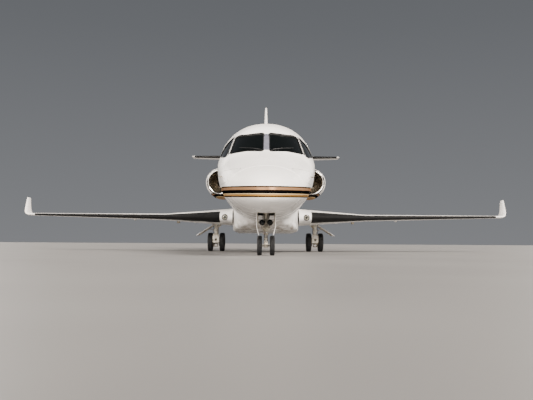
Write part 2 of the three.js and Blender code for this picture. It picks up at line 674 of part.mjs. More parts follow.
// Tyre outline across its width: (radius, place across), from bead to bead
function tyre({ radius, width, rim }, x, y) {
  const half = width / 2;
  const profile = [
    [rim, -0.65 * half], [rim + 0.4 * (radius - rim), -half], [radius - 0.25 * (radius - rim), -0.95 * half],
    [radius, -0.55 * half], [radius, 0.55 * half], [radius - 0.25 * (radius - rim), 0.95 * half],
    [rim + 0.4 * (radius - rim), half], [rim, 0.65 * half], [rim, -0.65 * half],
  ].map(([r, across]) => new THREE.Vector2(r, across));
  return solid(new THREE.LatheGeometry(profile, WHEEL_SIDES).rotateZ(-Math.PI / 2).translate(x, y, radius));
}

// Two rims with dished outer faces on one axle
function rims({ radius, width, rim, offset, axle }, x, y) {
  const half = 0.6 * (width / 2);
  const disc = (middle) => {
    const profile = [
      [0, -half], [0.5 * rim, -half], [0.7 * rim, -0.45 * half], [rim - 1, -half],
      [rim - 1, half], [0.7 * rim, 0.45 * half], [0.5 * rim, half], [0, half],
    ].map(([r, across]) => new THREE.Vector2(r, across));
    return solid(new THREE.LatheGeometry(profile, WHEEL_SIDES).rotateZ(-Math.PI / 2).translate(x + middle, y, radius));
  };
  const shaft = rod(vector(x - offset, y, radius), vector(x + offset, y, radius), axle);
  return joined([disc(-offset), disc(offset), shaft]);
}

function addNoseGear() {
  const wheel = NOSE_WHEEL;
  const y = at(wheel.station);
  const pistonTop = 520;
  const lamp = (x) =>
    rod(vector(x, y - 60, TAXI_LAMP.z), vector(x, y - 150, TAXI_LAMP.z), 0.6 * TAXI_LAMP.radius, TAXI_LAMP.radius, 12);
  const leg = joined([
    rod(vector(0, y, pistonTop + 2), vector(0, y, NOSE_BAY.top - GAP), 60),
    rod(vector(0, y, 560), vector(0, y, 650), 82),
    rod(vector(0, y - 20, 800), vector(0, at(1500), NOSE_BAY.top - 40), 26),
    rod(vector(0, at(1500), NOSE_BAY.top - 90), vector(0, at(1500), NOSE_BAY.top - GAP), 40),
    rod(vector(-TAXI_LAMP.x, y - 80, TAXI_LAMP.z), vector(TAXI_LAMP.x, y - 80, TAXI_LAMP.z), 18),
    box([-22, y - 90, TAXI_LAMP.z - 20], [22, y, TAXI_LAMP.z + 20]),
    lamp(-TAXI_LAMP.x), lamp(TAXI_LAMP.x),
  ]);
  add(root, "nose_leg", leg.subtract(rod(vector(0, y, 0), vector(0, y, pistonTop + 2), 64)), FINISH.gear);

  const steering = pivot(vector(0, y, 0));
  const bearing = box([-48, y - 50, wheel.radius - 50], [48, y + 50, wheel.radius + 70]);
  const fork = joined([
    rod(vector(0, y, wheel.radius + 40), vector(0, y, pistonTop), 42),
    rod(vector(0, y, 460), vector(0, y, 505), 60),
    bearing,
    box([-30, y - 150, wheel.radius + 10], [30, y - 30, wheel.radius + 60]),
    rod(vector(0, y - 140, wheel.radius + 35), vector(0, y - 150, 375), 20),
    rod(vector(0, y - 150, 375), vector(0, y - 30, 480), 20),
  ]);
  const axleHole = rod(vector(-90, y, wheel.radius), vector(90, y, wheel.radius), bore(wheel.axle));
  add(steering, "nose_fork", fork.subtract(axleHole), FINISH.gear);
  const wheels = pivot(vector(0, y, wheel.radius), steering);
  add(wheels, "nose_rims", rims(wheel, 0, y), FINISH.metal);
  add(wheels, "nose_tyre_left", tyre(wheel, wheel.offset, y), FINISH.tyre);
  add(wheels, "nose_tyre_right", tyre(wheel, -wheel.offset, y), FINISH.tyre);

  const door = frontPrism(outline(NOSE_DOOR.section), at(NOSE_DOOR.front), at(NOSE_DOOR.back)).subtract(hullAround);
  add(root, "nose_gear_door_left", door, FINISH.white);
  add(root, "nose_gear_door_right", mirrored(door), FINISH.white);
}

function addMainGear(side, wing) {
  const left = side === "left";
  const own = (shape) => (left ? shape : mirrored(shape));
  const wheel = MAIN_WHEEL;
  const [x, y] = [wheel.x, at(wheel.station)];
  const strut = at(MAIN_STRUT);
  const knee = 500;
  const wingUnder = shifted(wing, 0, 0, -GAP);
  const yoke = frontPrism(roundedRectangle(x - 104, x + 104, 285, 545, 45), strut - 85, strut - 25)
    .subtract(rod(vector(x, strut - 200, 385), vector(x, strut, 385), 42));
  const leg = joined([
    yoke,
    rod(vector(x, strut, knee), vector(x, strut, 1000), 62),
    rod(vector(x - 75, strut, knee), vector(x + 75, strut, knee), 52),
    rod(vector(x, strut, knee), vector(x, y, wheel.radius), 46),
    rod(vector(x - 70, y, wheel.radius), vector(x + 70, y, wheel.radius), 76),
    rod(vector(x, y + 30, wheel.radius + 40), vector(x, y + 60, 620), 30),
    rod(vector(x, y + 60, 600), vector(x, y + 20, 940), 48),
    rod(vector(x, strut + 10, 740), vector(x - 230, strut + 40, 960), 38),
    rod(vector(x, strut, 660), vector(x, strut, 720), 78),
  ]).subtract(wingUnder);
  const hole = rod(vector(x - 90, y, wheel.radius), vector(x + 90, y, wheel.radius), bore(wheel.axle));
  const pieces = leg.subtract(hole).decompose().sort((a, b) => b.volume() - a.volume());
  add(root, "main_leg_" + side, own(pieces[0]), FINISH.gear);

  const wheels = pivot(vector(left ? x : -x, y, wheel.radius));
  add(wheels, "main_rims_" + side, own(rims(wheel, x, y)), FINISH.metal);
  add(wheels, "main_tyre_inner_" + side, own(tyre(wheel, x - wheel.offset, y)), FINISH.tyre);
  add(wheels, "main_tyre_outer_" + side, own(tyre(wheel, x + wheel.offset, y)), FINISH.tyre);

  // The open leg door hangs outwards and down from the wing's underside
  const panel = outline([[1700, 873], [2245, 522], [2237, 510], [1692, 861]]);
  const lug = (station) => box([x + 78, at(station), 845], [x + 112, at(station + 60), 1010]);
  const door = joined([frontPrism(panel, at(9080), at(9780)), lug(9110), lug(9690)]).subtract(wingUnder);
  add(root, "main_gear_door_" + side, own(door), FINISH.white);
}

addFuselage();
addFairing();
const wing = addWing("left");
addWing("right");
addTail();
addEngine("left");
addEngine("right");
addNoseGear();
addMainGear("left", wing);
addMainGear("right", wing);

export default root;
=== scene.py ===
"""A business jet parked on its landing gear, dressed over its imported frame.

Metres, +Z up, the nose towards -Y and the jet's own left side at +X. A station is a distance aft of the nose
tip. Every surface is a function of two parameters, worked out on a grid as whole arrays.
"""

import json
import math

import bmesh
import bpy
import numpy as np
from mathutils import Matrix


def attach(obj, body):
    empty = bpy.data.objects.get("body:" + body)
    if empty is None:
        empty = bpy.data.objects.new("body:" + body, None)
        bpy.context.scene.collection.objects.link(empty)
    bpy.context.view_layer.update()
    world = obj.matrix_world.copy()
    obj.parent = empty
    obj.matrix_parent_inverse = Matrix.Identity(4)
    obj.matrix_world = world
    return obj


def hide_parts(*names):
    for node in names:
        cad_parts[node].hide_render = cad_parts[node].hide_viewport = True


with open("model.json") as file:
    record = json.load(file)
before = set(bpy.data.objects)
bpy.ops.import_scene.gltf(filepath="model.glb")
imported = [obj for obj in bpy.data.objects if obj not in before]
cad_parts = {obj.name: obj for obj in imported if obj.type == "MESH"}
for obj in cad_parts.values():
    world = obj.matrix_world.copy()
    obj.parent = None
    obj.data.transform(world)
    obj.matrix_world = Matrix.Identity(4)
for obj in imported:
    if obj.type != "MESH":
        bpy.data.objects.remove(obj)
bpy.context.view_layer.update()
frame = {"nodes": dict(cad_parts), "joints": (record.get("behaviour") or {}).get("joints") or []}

# Driving dimensions, the same as the frame's
LENGTH = 18.97
WALL = 0.09
SEAM = 0.004  # open line between two panels
NOSE_SEAM = 0.0006  # beside the radome's close joint
PROUD = 0.0015  # trim laid on a skin
LAP = 0.006  # how far a pane reaches past its opening
DOUBLED = 1e-5  # points nearer than this are one
FLOOR, HOLD_FLOOR = 1.3, 1.36
AIRFRAME = "airframe"
SIDES = {"left": 1, "right": -1}


def at(station):
    """Place along Y of a station."""
    return station - LENGTH / 2


# Camera: as far ahead of the nose, aside and as high as the photograph's, in metres, pixels and degrees
CAMERA = {"ahead": 13.35, "aside": -0.03, "height": 0.28, "focal": 689.6, "horizon": 43.0, "roll": -0.35,
          "turn": -0.16}
FRAME_WIDTH = 533

# Fuselage sections: two half superellipses that meet at the widest line, the upper one drawn in a little
# beside the cockpit. Columns: station, half width, top, bottom, widest line, upper exponent, lower
# exponent, drawn in
HULL = np.array([
    [0.0, 0.0, 1.258, 1.258, 1.258, 2.0, 2.0, 0.0],
    [0.025, 0.132, 1.374, 1.150, 1.258, 2.0, 2.0, 0.0],
    [0.11, 0.288, 1.492, 1.068, 1.268, 2.0, 2.0, 0.0],
    [0.3, 0.470, 1.628, 1.003, 1.300, 2.0, 2.0, 0.0],
    [0.6, 0.652, 1.770, 0.955, 1.370, 2.0, 2.0, 0.0],
    [1.0, 0.818, 1.922, 0.925, 1.470, 2.0, 2.0, 0.0],
    [1.5, 0.948, 2.110, 0.905, 1.630, 2.0, 2.1, 0.0],
    [2.1, 1.052, 2.338, 0.892, 1.830, 2.0, 2.2, 0.02],
    [2.5, 1.102, 2.572, 0.885, 1.960, 2.1, 2.25, 0.05],
    [3.0, 1.148, 2.870, 0.881, 2.070, 2.1, 2.25, 0.05],
    [3.5, 1.188, 3.152, 0.880, 2.130, 2.05, 2.2, 0.05],
    [4.05, 1.218, 3.302, 0.880, 2.140, 2.1, 2.2, 0.02],
    [4.8, 1.224, 3.345, 0.880, 2.130, 2.15, 2.2, 0.0],
    [5.7, 1.224, 3.348, 0.880, 2.110, 2.15, 2.2, 0.0],
    [11.0, 1.224, 3.348, 0.880, 2.110, 2.15, 2.2, 0.0],
    [11.9, 1.172, 3.345, 0.905, 2.118, 2.12, 2.18, 0.0],
    [12.7, 1.075, 3.340, 1.000, 2.155, 2.1, 2.15, 0.0],
    [13.7, 0.935, 3.325, 1.260, 2.275, 2.0, 2.1, 0.0],
    [14.7, 0.782, 3.290, 1.620, 2.440, 2.0, 2.0, 0.0],
    [15.7, 0.605, 3.240, 1.990, 2.610, 2.0, 2.0, 0.0],
    [16.7, 0.405, 3.170, 2.350, 2.765, 2.0, 2.0, 0.0],
    [17.6, 0.215, 3.090, 2.660, 2.872, 2.0, 2.0, 0.0],
])
RADOME_END, COCKPIT_END, CABIN_END, AFT_END, TAIL_END = 0.9, 3.9, 11.9, 15.7, 17.6
TAIL_RIM = np.array([[0.8, 0.0], [0.74, 0.01], [0.7, 0.12]])  # share of the end's size, way forward

# Cockpit glass: outlines seen from ahead (x, z) and from the side (station, z)
WINDSHIELD = [(0.074, 2.368), (0.45, 2.362), (0.845, 2.338), (0.752, 2.838), (0.43, 2.868), (0.074, 2.886)]
SIDE_WINDOW = [(2.5, 2.29), (3.3, 2.35), (3.8, 2.42), (3.78, 2.64), (3.56, 2.85), (3.2, 2.87)]
POST = 0.048
CABIN_WINDOW = {"first": 5.36, "pitch": 0.79, "count": 8, "height": 2.4, "half": (0.16, 0.215), "corner": 0.12}
CABIN_DOOR = {"joint": "cabin_door", "low": (4.0, 1.4), "high": (4.82, 3.04), "corner": 0.13, "domed": True}
HOLD_DOOR = {"joint": "baggage_door", "low": (12.25, 1.4), "high": (12.95, 1.88), "corner": 0.07, "domed": False}
RUNNING = 0.007  # open line round what moves
NOSE_BAY = {"low": (-0.19, 1.25), "high": (0.19, 2.27), "top": 1.33}
STEP = {"first": 1.52, "pitch": 0.29, "count": 5, "tread": 0.21, "rise": 0.24, "half": 0.28, "open": 130}

# Fairing under the fuselage. Columns: station, half width, top, bottom, corner radius
FAIRING = np.array([
    [5.75, 0.330, 1.150, 0.862, 0.12],
    [6.15, 0.700, 1.300, 0.760, 0.14],
    [6.75, 0.915, 1.480, 0.645, 0.11],
    [7.33, 0.955, 1.500, 0.612, 0.11],
    [7.9, 1.000, 1.500, 0.612, 0.11],
    [10.78, 1.000, 1.500, 0.612, 0.11],
    [11.5, 0.880, 1.450, 0.700, 0.11],
    [12.35, 0.520, 1.250, 0.900, 0.12],
])

# Flying surfaces. Columns: span place, leading edge station, chord, height, thickness, roll in degrees
WING = np.array([[1.003, 7.33, 3.42, 1.05, 0.53, 0], [3.3, 9.02, 1.95, 1.105, 0.215, 0],
                 [8.69, 11.878, 0.85, 1.281, 0.085, 0]])
# Section of the wing's root, spread across the span, for a black strip round its front that paints the shadow in the
# gap beside the fairing
ROOT = WING[[0, 0]] + np.array([[-0.083, 0, 0, 0, 0, 0], [0.017, 0, 0, 0, 0, 0]])
WINGLET = np.array([[8.69, 11.878, 0.85, 1.281, 0.085, 0], [8.797, 11.948, 0.82, 1.328, 0.08, 40],
                    [8.86, 12.058, 0.72, 1.443, 0.072, 74], [8.942, 12.518, 0.36, 1.935, 0.034, 82]])
TAILPLANE = np.array([[0, 16.05, 1.85, 3.97, 0.19, 0], [3.3, 18.03, 0.94, 4.22, 0.08, 0],
                      [3.38, 18.14, 0.8, 4.226, 0.04, 0]])
FIN = np.array([[2.98, 12.3, 5.3, 0, 0.19, 0], [3.42, 13.35, 4.26, 0, 0.21, 0],
                [3.95, 14.7, 3.08, 0, 0.205, 0], [6.24, 16.8, 1.5, 0, 0.09, 0],
                [6.32, 16.94, 1.34, 0, 0.05, 0]])
WING_BEND, WING_TIP = 3.3, 8.688  # where the edges bend, and where the winglet begins
FIN_CAP = 6.235  # where the cap begins on the fin
FIN_BEACON = [(0.0, 6.352), (0.02, 6.35), (0.032, 6.34), (0.036, 6.325), (0.036, 6.31)]  # (radius, height)
# Spindle that fairs the tailplane into the fin: (radius, station)
TAIL_BULLET = [(0.002, 16.0), (0.05, 16.05), (0.1, 16.25), (0.125, 16.8), (0.12, 17.5), (0.07, 18.05), (0.002, 18.2)]
CAMBER = 0.012
# Hinged surfaces: ends along the span, hinge line as a share of the chord, room beyond each end
FLAP = {"ends": (1.465, 5.59), "chord": (0.77, 0.73), "room": (0.038, 0.02)}
AILERON = {"ends": (5.76, 8.15), "chord": (0.73, 0.73), "room": (0.014, 0.014)}
ELEVATOR = {"ends": (0.44, 3.18), "chord": (0.68, 0.68), "room": (0.02, 0.014)}
RUDDER = {"ends": (4.42, 6.13), "chord": (0.7, 0.7), "room": (0.036, 0.018)}
COVE = 0.01  # room round the nose of what is hinged
BOOT = np.array([[1.4, 0.25], [3.3, 0.165], [8.395, 0.075]])
LAMP = {"x": 1.235, "z": 1.052, "radius": 0.082, "front": 7.475}

# Engines. Profiles are (radius, station)
ENGINE = {"x": 1.72, "z": 2.55}
COWL = [(0.484, 12.333), (0.5, 12.372), (0.532, 12.58), (0.553, 12.9), (0.562, 13.3), (0.56, 13.8), (0.54, 14.3),
        (0.49, 14.9), (0.404, 15.56)]
LIP = [(0.376, 12.6), (0.378, 12.48), (0.388, 12.38), (0.402, 12.33), (0.422, 12.306), (0.442, 12.3),
       (0.45, 12.301), (0.456, 12.305)]
DUCT = [(0.376, 12.6), (0.383, 12.8), (0.402, 13.2), (0.43, 13.5), (0.455, 13.7), (0.468, 14.3),
        (0.44, 14.9), (0.388, 15.56)]
LIP_SEAL = [(0.45, 12.318), (0.454, 12.3045), (0.47, 12.316), (0.486, 12.3345), (0.482, 12.345)]
NOZZLE_EDGE = [(0.388, 15.56), (0.392, 15.566), (0.4, 15.566), (0.404, 15.56)]
SPINNER = [(0.0, 12.76), (0.03, 12.772), (0.06, 12.8), (0.09, 12.845), (0.115, 12.9), (0.14, 12.99),
           (0.146, 13.19), (0.04, 13.2)]
BLADES = {"count": 22, "root": 0.13, "tip": 0.381, "middle": 13.07, "chord": 0.17}
CORE = [(0.0, 13.246), (0.11, 13.246), (0.19, 13.29), (0.285, 13.5), (0.305, 14.25), (0.272, 14.9),
        (0.26, 15.05)]
CONE = [(0.2, 14.9), (0.19, 15.0), (0.15, 15.25), (0.09, 15.45), (0.03, 15.58), (0.0, 15.6)]

# Landing gear
NOSE_WHEEL = {"station": 2.1, "radius": 0.222, "width": 0.112, "rim": 0.118, "offset": 0.143}
MAIN_WHEEL = {"station": 9.56, "radius": 0.305, "width": 0.17, "rim": 0.168, "offset": 0.195}
MAIN_X, MAIN_STRUT = 1.625, 9.35
NOSE_DOOR = {"front": 1.42, "back": 2.06, "thick": 0.0135,
             "section": [(0.203, 0.93), (0.203, 0.72), (0.2025, 0.645), (0.184, 0.555), (0.1585, 0.4525)]}
TAXI_LAMP = {"x": 0.088, "z": 0.735, "radius": 0.064}
MAIN_DOOR = {"front": 9.08, "back": 9.78, "thick": 0.0144,
             "section": [(1.696, 0.867), (1.97, 0.6925), (2.241, 0.516)]}


# Colours and materials

def colour(code):
    """An sRGB hex value as linear RGBA."""
    parts = np.array([int(code[i:i + 2], 16) for i in (1, 3, 5)]) / 255
    linear = np.where(parts <= 0.04045, parts / 12.92, ((parts + 0.055) / 1.055) ** 2.4)
    return (*linear.tolist(), 1.0)


def add(tree, kind, sockets=None, into=None, stops=(), **settings):
    """Adds a shader node with its settings. Sockets take a number, a colour, another node (its first output) or
    an output. Stops are a ramp's (place, hex) colours. Into names the material's socket that it feeds."""
    made = tree.nodes.new("ShaderNode" + kind)
    for name, value in settings.items():
        setattr(made, name, value)
    for key, value in (sockets or {}).items():
        value = value.outputs[0] if isinstance(value, bpy.types.Node) else value
        if isinstance(value, bpy.types.NodeSocket):
            tree.links.new(value, made.inputs[key])
        else:
            made.inputs[key].default_value = value
    if stops:
        elements = made.color_ramp.elements
        for _ in stops[len(elements):]:
            elements.new(0.5)
        for element, (place, code) in zip(elements, stops):
            element.position, element.color = place, colour(code)
    if into:
        tree.links.new(made.outputs[0], tree.nodes["Principled BSDF"].inputs[into])
    return made


def material(name, **sockets):
    """A new Principled material with plain values on its sockets, and its node tree."""
    made = bpy.data.materials.new(name)
    made.use_nodes = True
    shader = made.node_tree.nodes["Principled BSDF"]
    for key, value in sockets.items():
        shader.inputs[key.replace("_", " ")].default_value = value
    return made, made.node_tree


def blotches(tree, size, detail=3.0, stretch=(1, 1, 1)):
    """A cloudy pattern about this many metres from blotch to blotch, stretched along the axes: noise read at
    the object's own coordinates."""
    coords = add(tree, "TexCoord").outputs["Object"]
    placed = add(tree, "Mapping", {"Vector": coords, "Scale": stretch})
    return add(tree, "TexNoise", {"Vector": placed, "Scale": 1 / size, "Detail": detail})


def worked(tree, patches, low, high, grain, depth, strength=1.0):
    """The surface that working leaves: its roughness drifts between two values over the patches, and a fine
    relief, so many metres deep, follows the grain."""
    add(tree, "MapRange", {"Value": patches, "From Min": 0.3, "From Max": 0.7, "To Min": low, "To Max": high},
        "Roughness")
    add(tree, "Bump", {"Height": grain, "Distance": depth, "Strength": strength}, "Normal")


# Trim lines from the bottom up: share of their width, colour, and how metallic they are, as a grey
STRIPES = [(0.0, "#1a1009", "#000000"), (0.1, "#a57a3f", "#8c8c8c"), (0.275, "#d9c096", "#333333"),
           (0.335, "#080707", "#000000"), (0.645, "#8b6a4e", "#666666"), (0.885, "#22150d", "#000000"),
           (1.0, "#f4f1ed", "#000000")]
# Where they run: height of the lowest line at the nose tip, rise for each metre aft, width, sweep up aft
HULL_LINES = {"start": 1.163, "rise": 0.0655, "width": 0.228, "sweep": 0.012}
# On the cowls the same lines run level round the underside, from the cowl's bottom up, which darkens it
COWL_UNDERSIDE_LINES = {"start": 1.97, "rise": 0.0, "width": 0.16, "sweep": 0.0}
SWEEP_FROM = 9.0


def trim_lines(tree, lines):
    """A share across the trim lines at each spot, and one where they are and zero beside them. The lowest line
    rises evenly aft, and from a station on also by the square of the way past it."""
    spot = add(tree, "SeparateXYZ", {0: add(tree, "TexCoord").outputs["Object"]})
    station = add(tree, "Math", {0: spot.outputs["Y"], 1: LENGTH / 2}, operation="ADD")
    line = add(tree, "Math", {0: station, 1: lines["rise"], 2: lines["start"]}, operation="MULTIPLY_ADD")
    past = add(tree, "Math", {0: station, 1: SWEEP_FROM}, operation="SUBTRACT")
    past = add(tree, "Math", {0: past, 1: 0.0}, operation="MAXIMUM")
    swept = add(tree, "Math", {0: past, 1: 2.0}, operation="POWER")
    low = add(tree, "Math", {0: swept, 1: lines["sweep"], 2: line}, operation="MULTIPLY_ADD")
    over = add(tree, "Math", {0: spot.outputs["Z"], 1: low}, operation="SUBTRACT")
    share = add(tree, "Math", {0: over, 1: lines["width"]}, operation="DIVIDE")
    off = add(tree, "Math", {0: add(tree, "Math", {0: share, 1: 0.5}, operation="SUBTRACT")}, operation="ABSOLUTE")
    return share, add(tree, "Math", {0: off, 1: 0.5}, operation="LESS_THAN")


def enamel(name, lines=None, low_blotching=0.0):
    """Aircraft polyurethane enamel, sprayed and polished: a bright clear gloss over off-white, with a little road film,
    brown blotches that grow towards the bottom where asked, and trim lines in dark brown, black and gold where asked.
    The lines have no clear coat, which keeps them dark and satin. Its orange peel is 1 to 2 mm across, and drawn at 12
    mm so that it shows."""
    made, tree = material(name, Roughness=0.26, IOR=1.42, Coat_Weight=0.08, Coat_Roughness=0.08)
    film = blotches(tree, 1.4, 4.0, (1, 0.3, 1))
    base = add(tree, "ValToRGB", {0: film}, stops=[(0.3, "#f0ece7"), (0.72, "#faf8f5")]).outputs[0]
    # Brown blotches, stronger the lower the spot, from 1.05 m down to 0.65 m
    if low_blotching:
        spots = blotches(tree, 0.13, 8.0, (1, 0.6, 1))
        patch = add(tree, "ValToRGB", {0: spots}, stops=[(0.42, "#000000"), (0.62, "#ffffff")])
        height = add(tree, "SeparateXYZ", {0: add(tree, "TexCoord").outputs["Object"]}).outputs["Z"]
        low = add(tree, "MapRange", {"Value": height, "From Min": 1.05, "From Max": 0.65, "To Min": 0.0,
                                     "To Max": low_blotching})
        amount = add(tree, "Math", {0: patch, 1: low}, operation="MULTIPLY")
        base = add(tree, "Mix", {0: amount, 6: base, 7: colour("#7d6a52")}, data_type="RGBA").outputs[2]
    if lines:
        share, mask = trim_lines(tree, lines)
        # The lines take the middle eight tenths of their ramps, so that the edges fall clear of the ends
        scaled = add(tree, "Math", {0: share, 1: 0.8, 2: 0.1}, operation="MULTIPLY_ADD")
        for column, first, socket in ((1, "#f4f1ed", None), (2, "#000000", "Metallic")):
            stops = [(0.0, first)] + [(0.1 + 0.8 * row[0], row[column]) for row in STRIPES]
            bands = add(tree, "ValToRGB", {0: scaled}, socket, stops)
            bands.color_ramp.interpolation = "CONSTANT"
            if not socket:
                base = add(tree, "Mix", {0: mask, 6: base, 7: bands}, data_type="RGBA").outputs[2]
        for socket, full in (("Specular IOR Level", 0.5), ("Coat Weight", 0.08)):
            add(tree, "Math", {0: mask, 1: -full, 2: full}, socket, operation="MULTIPLY_ADD")
    tree.links.new(base, tree.nodes["Principled BSDF"].inputs["Base Color"])
    worked(tree, blotches(tree, 0.6), 0.2, 0.32, blotches(tree, 0.012, 2.0), 0.0002, 0.25)
    return made


def boot_rubber():
    """Neoprene de-icing boot, moulded with lengthwise tubes: black, a little shiny, dusty in places. Its tubes
    lie some 30 mm apart along the edge."""
    made, tree = material("neoprene_boot", Roughness=0.6, Specular_IOR_Level=0.2)
    add(tree, "ValToRGB", {0: blotches(tree, 0.35, 5.0)}, "Base Color", [(0.35, "#070708"), (0.85, "#151413")])
    worked(tree, blotches(tree, 0.2), 0.5, 0.7, blotches(tree, 0.03, 2.0, (0.15, 1, 1)), 0.0008)
    return made


def tinted_glass():
    """Laminated cockpit glass with a heating film: almost black from outside, a hard clear shine, and the
    slight waves of a bent pane."""
    made, tree = material("laminated_glass", Base_Color=colour("#232b28"), Roughness=0.02, IOR=1.48,
                          Transmission_Weight=0.92)
    add(tree, "Bump", {"Height": blotches(tree, 0.5, 1.0), "Distance": 0.0006, "Strength": 0.2}, "Normal")
    return made


def clear_pane(name, code, roughness, clear, index):
    """Plain pressed or stretched pane: the share of light that it lets through, in its tint."""
    return material(name, Base_Color=colour(code), Roughness=roughness, IOR=index, Transmission_Weight=clear)[0]


def lamp_glass(name, code, glow):
    """A cast lamp lens: its own colour glows a little, as when it is lit from inside, under a smooth shine."""
    return material(name, Base_Color=colour(code), Roughness=0.08, IOR=1.47, Coat_Weight=0.5,
                    Emission_Color=colour(code), Emission_Strength=glow)[0]


def metal(name, code, roughness, grain=0.01, low=0.7):
    """A bare or plated metal with fine working marks, dulled in patches. Real marks are well under 1 mm wide,
    and are drawn this many metres wide so that they show."""
    made, tree = material(name, Metallic=1.0, Roughness=roughness)
    dull = "#" + "".join(f"{int(int(code[i:i + 2], 16) * low):02x}" for i in (1, 3, 5))
    add(tree, "ValToRGB", {0: blotches(tree, 0.12, 4.0)}, "Base Color", [(0.32, dull), (0.6, code)])
    worked(tree, blotches(tree, 0.05), 0.7 * roughness, 1.5 * roughness, blotches(tree, grain), 0.0003, 0.5)
    return made


def coated(name, code, dark, roughness, size=0.05, depth=0.0004, coarse=0.3, **more):
    """A painted, moulded or woven surface: two near colours in coarse blotches, and a fine grain in relief,
    drawn coarser than the real grain so that it shows. Sizes and depth are in metres."""
    made, tree = material(name, Roughness=roughness, **more)
    add(tree, "ValToRGB", {0: blotches(tree, coarse, 5.0)}, "Base Color", [(0.32, dark), (0.62, code)])
    worked(tree, blotches(tree, coarse / 2), 0.8 * roughness, min(1.0, 1.25 * roughness), blotches(tree, size), depth)
    return made


# Sprayed enamel: off-white and glossy, with trim lines on the body, the same lines running level round the underside of
# each cowl, which darkens it, and brown blotches on the belly that grow towards the bottom
PAINT = enamel("polyurethane_enamel")
TRIMMED_PAINT = enamel("polyurethane_enamel_with_trim_lines", HULL_LINES)
COWL_PAINT = enamel("cowl_enamel_with_lines_round_its_underside", COWL_UNDERSIDE_LINES)
BELLY_PAINT = enamel("belly_enamel_with_blotches_low_down", low_blotching=0.75)
BOOTS = boot_rubber()
GLASS = tinted_glass()
# Stretched acrylic: a grey tint with a soft, clear shine
CABIN_GLASS = clear_pane("stretched_acrylic", "#4c5558", 0.03, 0.8, 1.49)
# Aluminium polished to a mirror, a little cloudy in patches
POLISHED = metal("polished_aluminium", "#e4e2de", 0.09, 0.02, 0.9)
# Machined titanium: warm grey with a satin sheen and fine tool marks
TITANIUM = metal("machined_titanium", "#aaa08f", 0.32, 0.004, 0.75)
# Rolled nickel alloy, browned and clouded by heat
HEATED = metal("heat_tinted_nickel_alloy", "#8a7a68", 0.36, 0.02, 0.6)
# Perforated and bonded duct liner: brown, half metallic, dotted where its holes are, and paler than the real liner, as
# painted light deep in the shaded duct
DUCT_METAL_PAINTED_LIGHTER = coated("acoustic_liner_painted_lighter", "#6d6252", "#4d4538", 0.5, 0.006, 0.0003, Metallic=0.4)
# Ground and plated pistons: the brightest mirror on the legs
CHROME = metal("hard_chromed_steel", "#dfe0e0", 0.07, 0.01, 0.92)
# Forged and plated steel: yellowish grey, satin
STEEL = metal("cadmium_plated_steel", "#a59c8b", 0.34, 0.008, 0.7)
# Castings under brushed epoxy and primer: cream, darker where grease has dried, with a thin gloss
GEAR_PAINT = coated("epoxy_gear_enamel", "#cfc8ba", "#93897a", 0.36, 0.01, 0.0002, 0.12, Coat_Weight=0.25)
# The primed castings are painted paler than their cream, as painted light on gear that stands in the shade under the
# body
LIGHT_ALLOY_PAINTED_PALER = coated("primed_cast_aluminium_painted_paler", "#efeadf", "#b9b19d", 0.34, 0.01, 0.0002, 0.1, Metallic=0.25,
                     Coat_Weight=0.3)
# Forged and painted rims: silver grey with brake dust
RIM_PAINT = coated("painted_forged_aluminium", "#cfcdc8", "#9f9a92", 0.3, 0.006, 0.0001, 0.08, Metallic=0.6)
# Moulded tyres: dull charcoal, paler where worn
RUBBER = coated("natural_rubber_tyre", "#1d1d1f", "#141415", 0.74, 0.008, 0.0005, 0.15)
# Braided hose: black, with a fine weave that catches the light
HOSE = coated("braided_hose", "#1b1b1c", "#0e0e0e", 0.5, 0.003, 0.0004)
# Sealant laid in the panel seams: dark grey, matt
SEALANT = coated("polysulphide_sealant", "#4b4a48", "#2c2b2a", 0.6, 0.01, 0.0002)
# Tanned hide: tan, softly shining over a pebbled grain
LEATHER = coated("upholstery_leather", "#c3ab88", "#a98f6c", 0.46, 0.004, 0.0006, 0.25)
# Pressed laminate: cream and nearly even
LINING = coated("cabin_lining_laminate", "#d9d2c4", "#c8bfae", 0.55, 0.004, 0.0002)
# Tufted wool: brown, with no shine and a deep pile
CARPET = coated("wool_carpet", "#6d6152", "#574c3f", 0.95, 0.004, 0.003)
# Lacquered walnut: deep brown figure under a gloss
VENEER = coated("walnut_veneer", "#6a3f22", "#3c2212", 0.25, 0.05, 0.0001, 0.2, Coat_Weight=0.6)
# Moulded plastic and seals: black, half dull
BLACK_PLASTIC = coated("moulded_black_plastic", "#0e0e0f", "#080808", 0.5, 0.002, 0.0002)
# Sprayed primer: olive, matt and uneven
BAY_PRIMER = coated("zinc_chromate_primer", "#7d7f62", "#5b5c48", 0.55, 0.02, 0.0003)
# Cast lenses of the bulbs, the beacons and the wing tips
LAMP_CLEAR = lamp_glass("clear_lamp_lens", "#fff6e2", 1.2)
LAMP_RED = lamp_glass("red_lamp_lens", "#e0201a", 1.5)
LAMP_GREEN = lamp_glass("green_lamp_lens", "#19b85a", 1.2)
# Pressed glass over the taxi lamps, smoky, and over the landing lights, water clear
LAMP_GLASS = clear_pane("pressed_lamp_glass", "#3b4042", 0.03, 0.9, 1.5)
CLEAR_GLASS = clear_pane("clear_lamp_glass", "#e6e8e8", 0.02, 0.98, 1.45)
# Reflectors: spun aluminium, silky, and silvered bowls whose dark colour is painted shade, standing for the dark they
# mirror under the nose
LAMP_BOWL = metal("satin_aluminium_reflector", "#c9c3b8", 0.42, 0.006, 0.7)
REFLECTOR_WITH_PAINTED_SHADE = metal("silvered_reflector_with_painted_shade", "#4a4744", 0.16, 0.01, 0.6)
# Frame enamel between the windshields: grey and half matt, its cool dark tone partly painted shade and a painted
# reflection of the dark sky on the sloping post
POST_PAINT_WITH_SHADE = coated("grey_frame_enamel_with_painted_shade", "#6d6d78", "#5d5d68", 0.4, 0.01, 0.0002, 0.1)
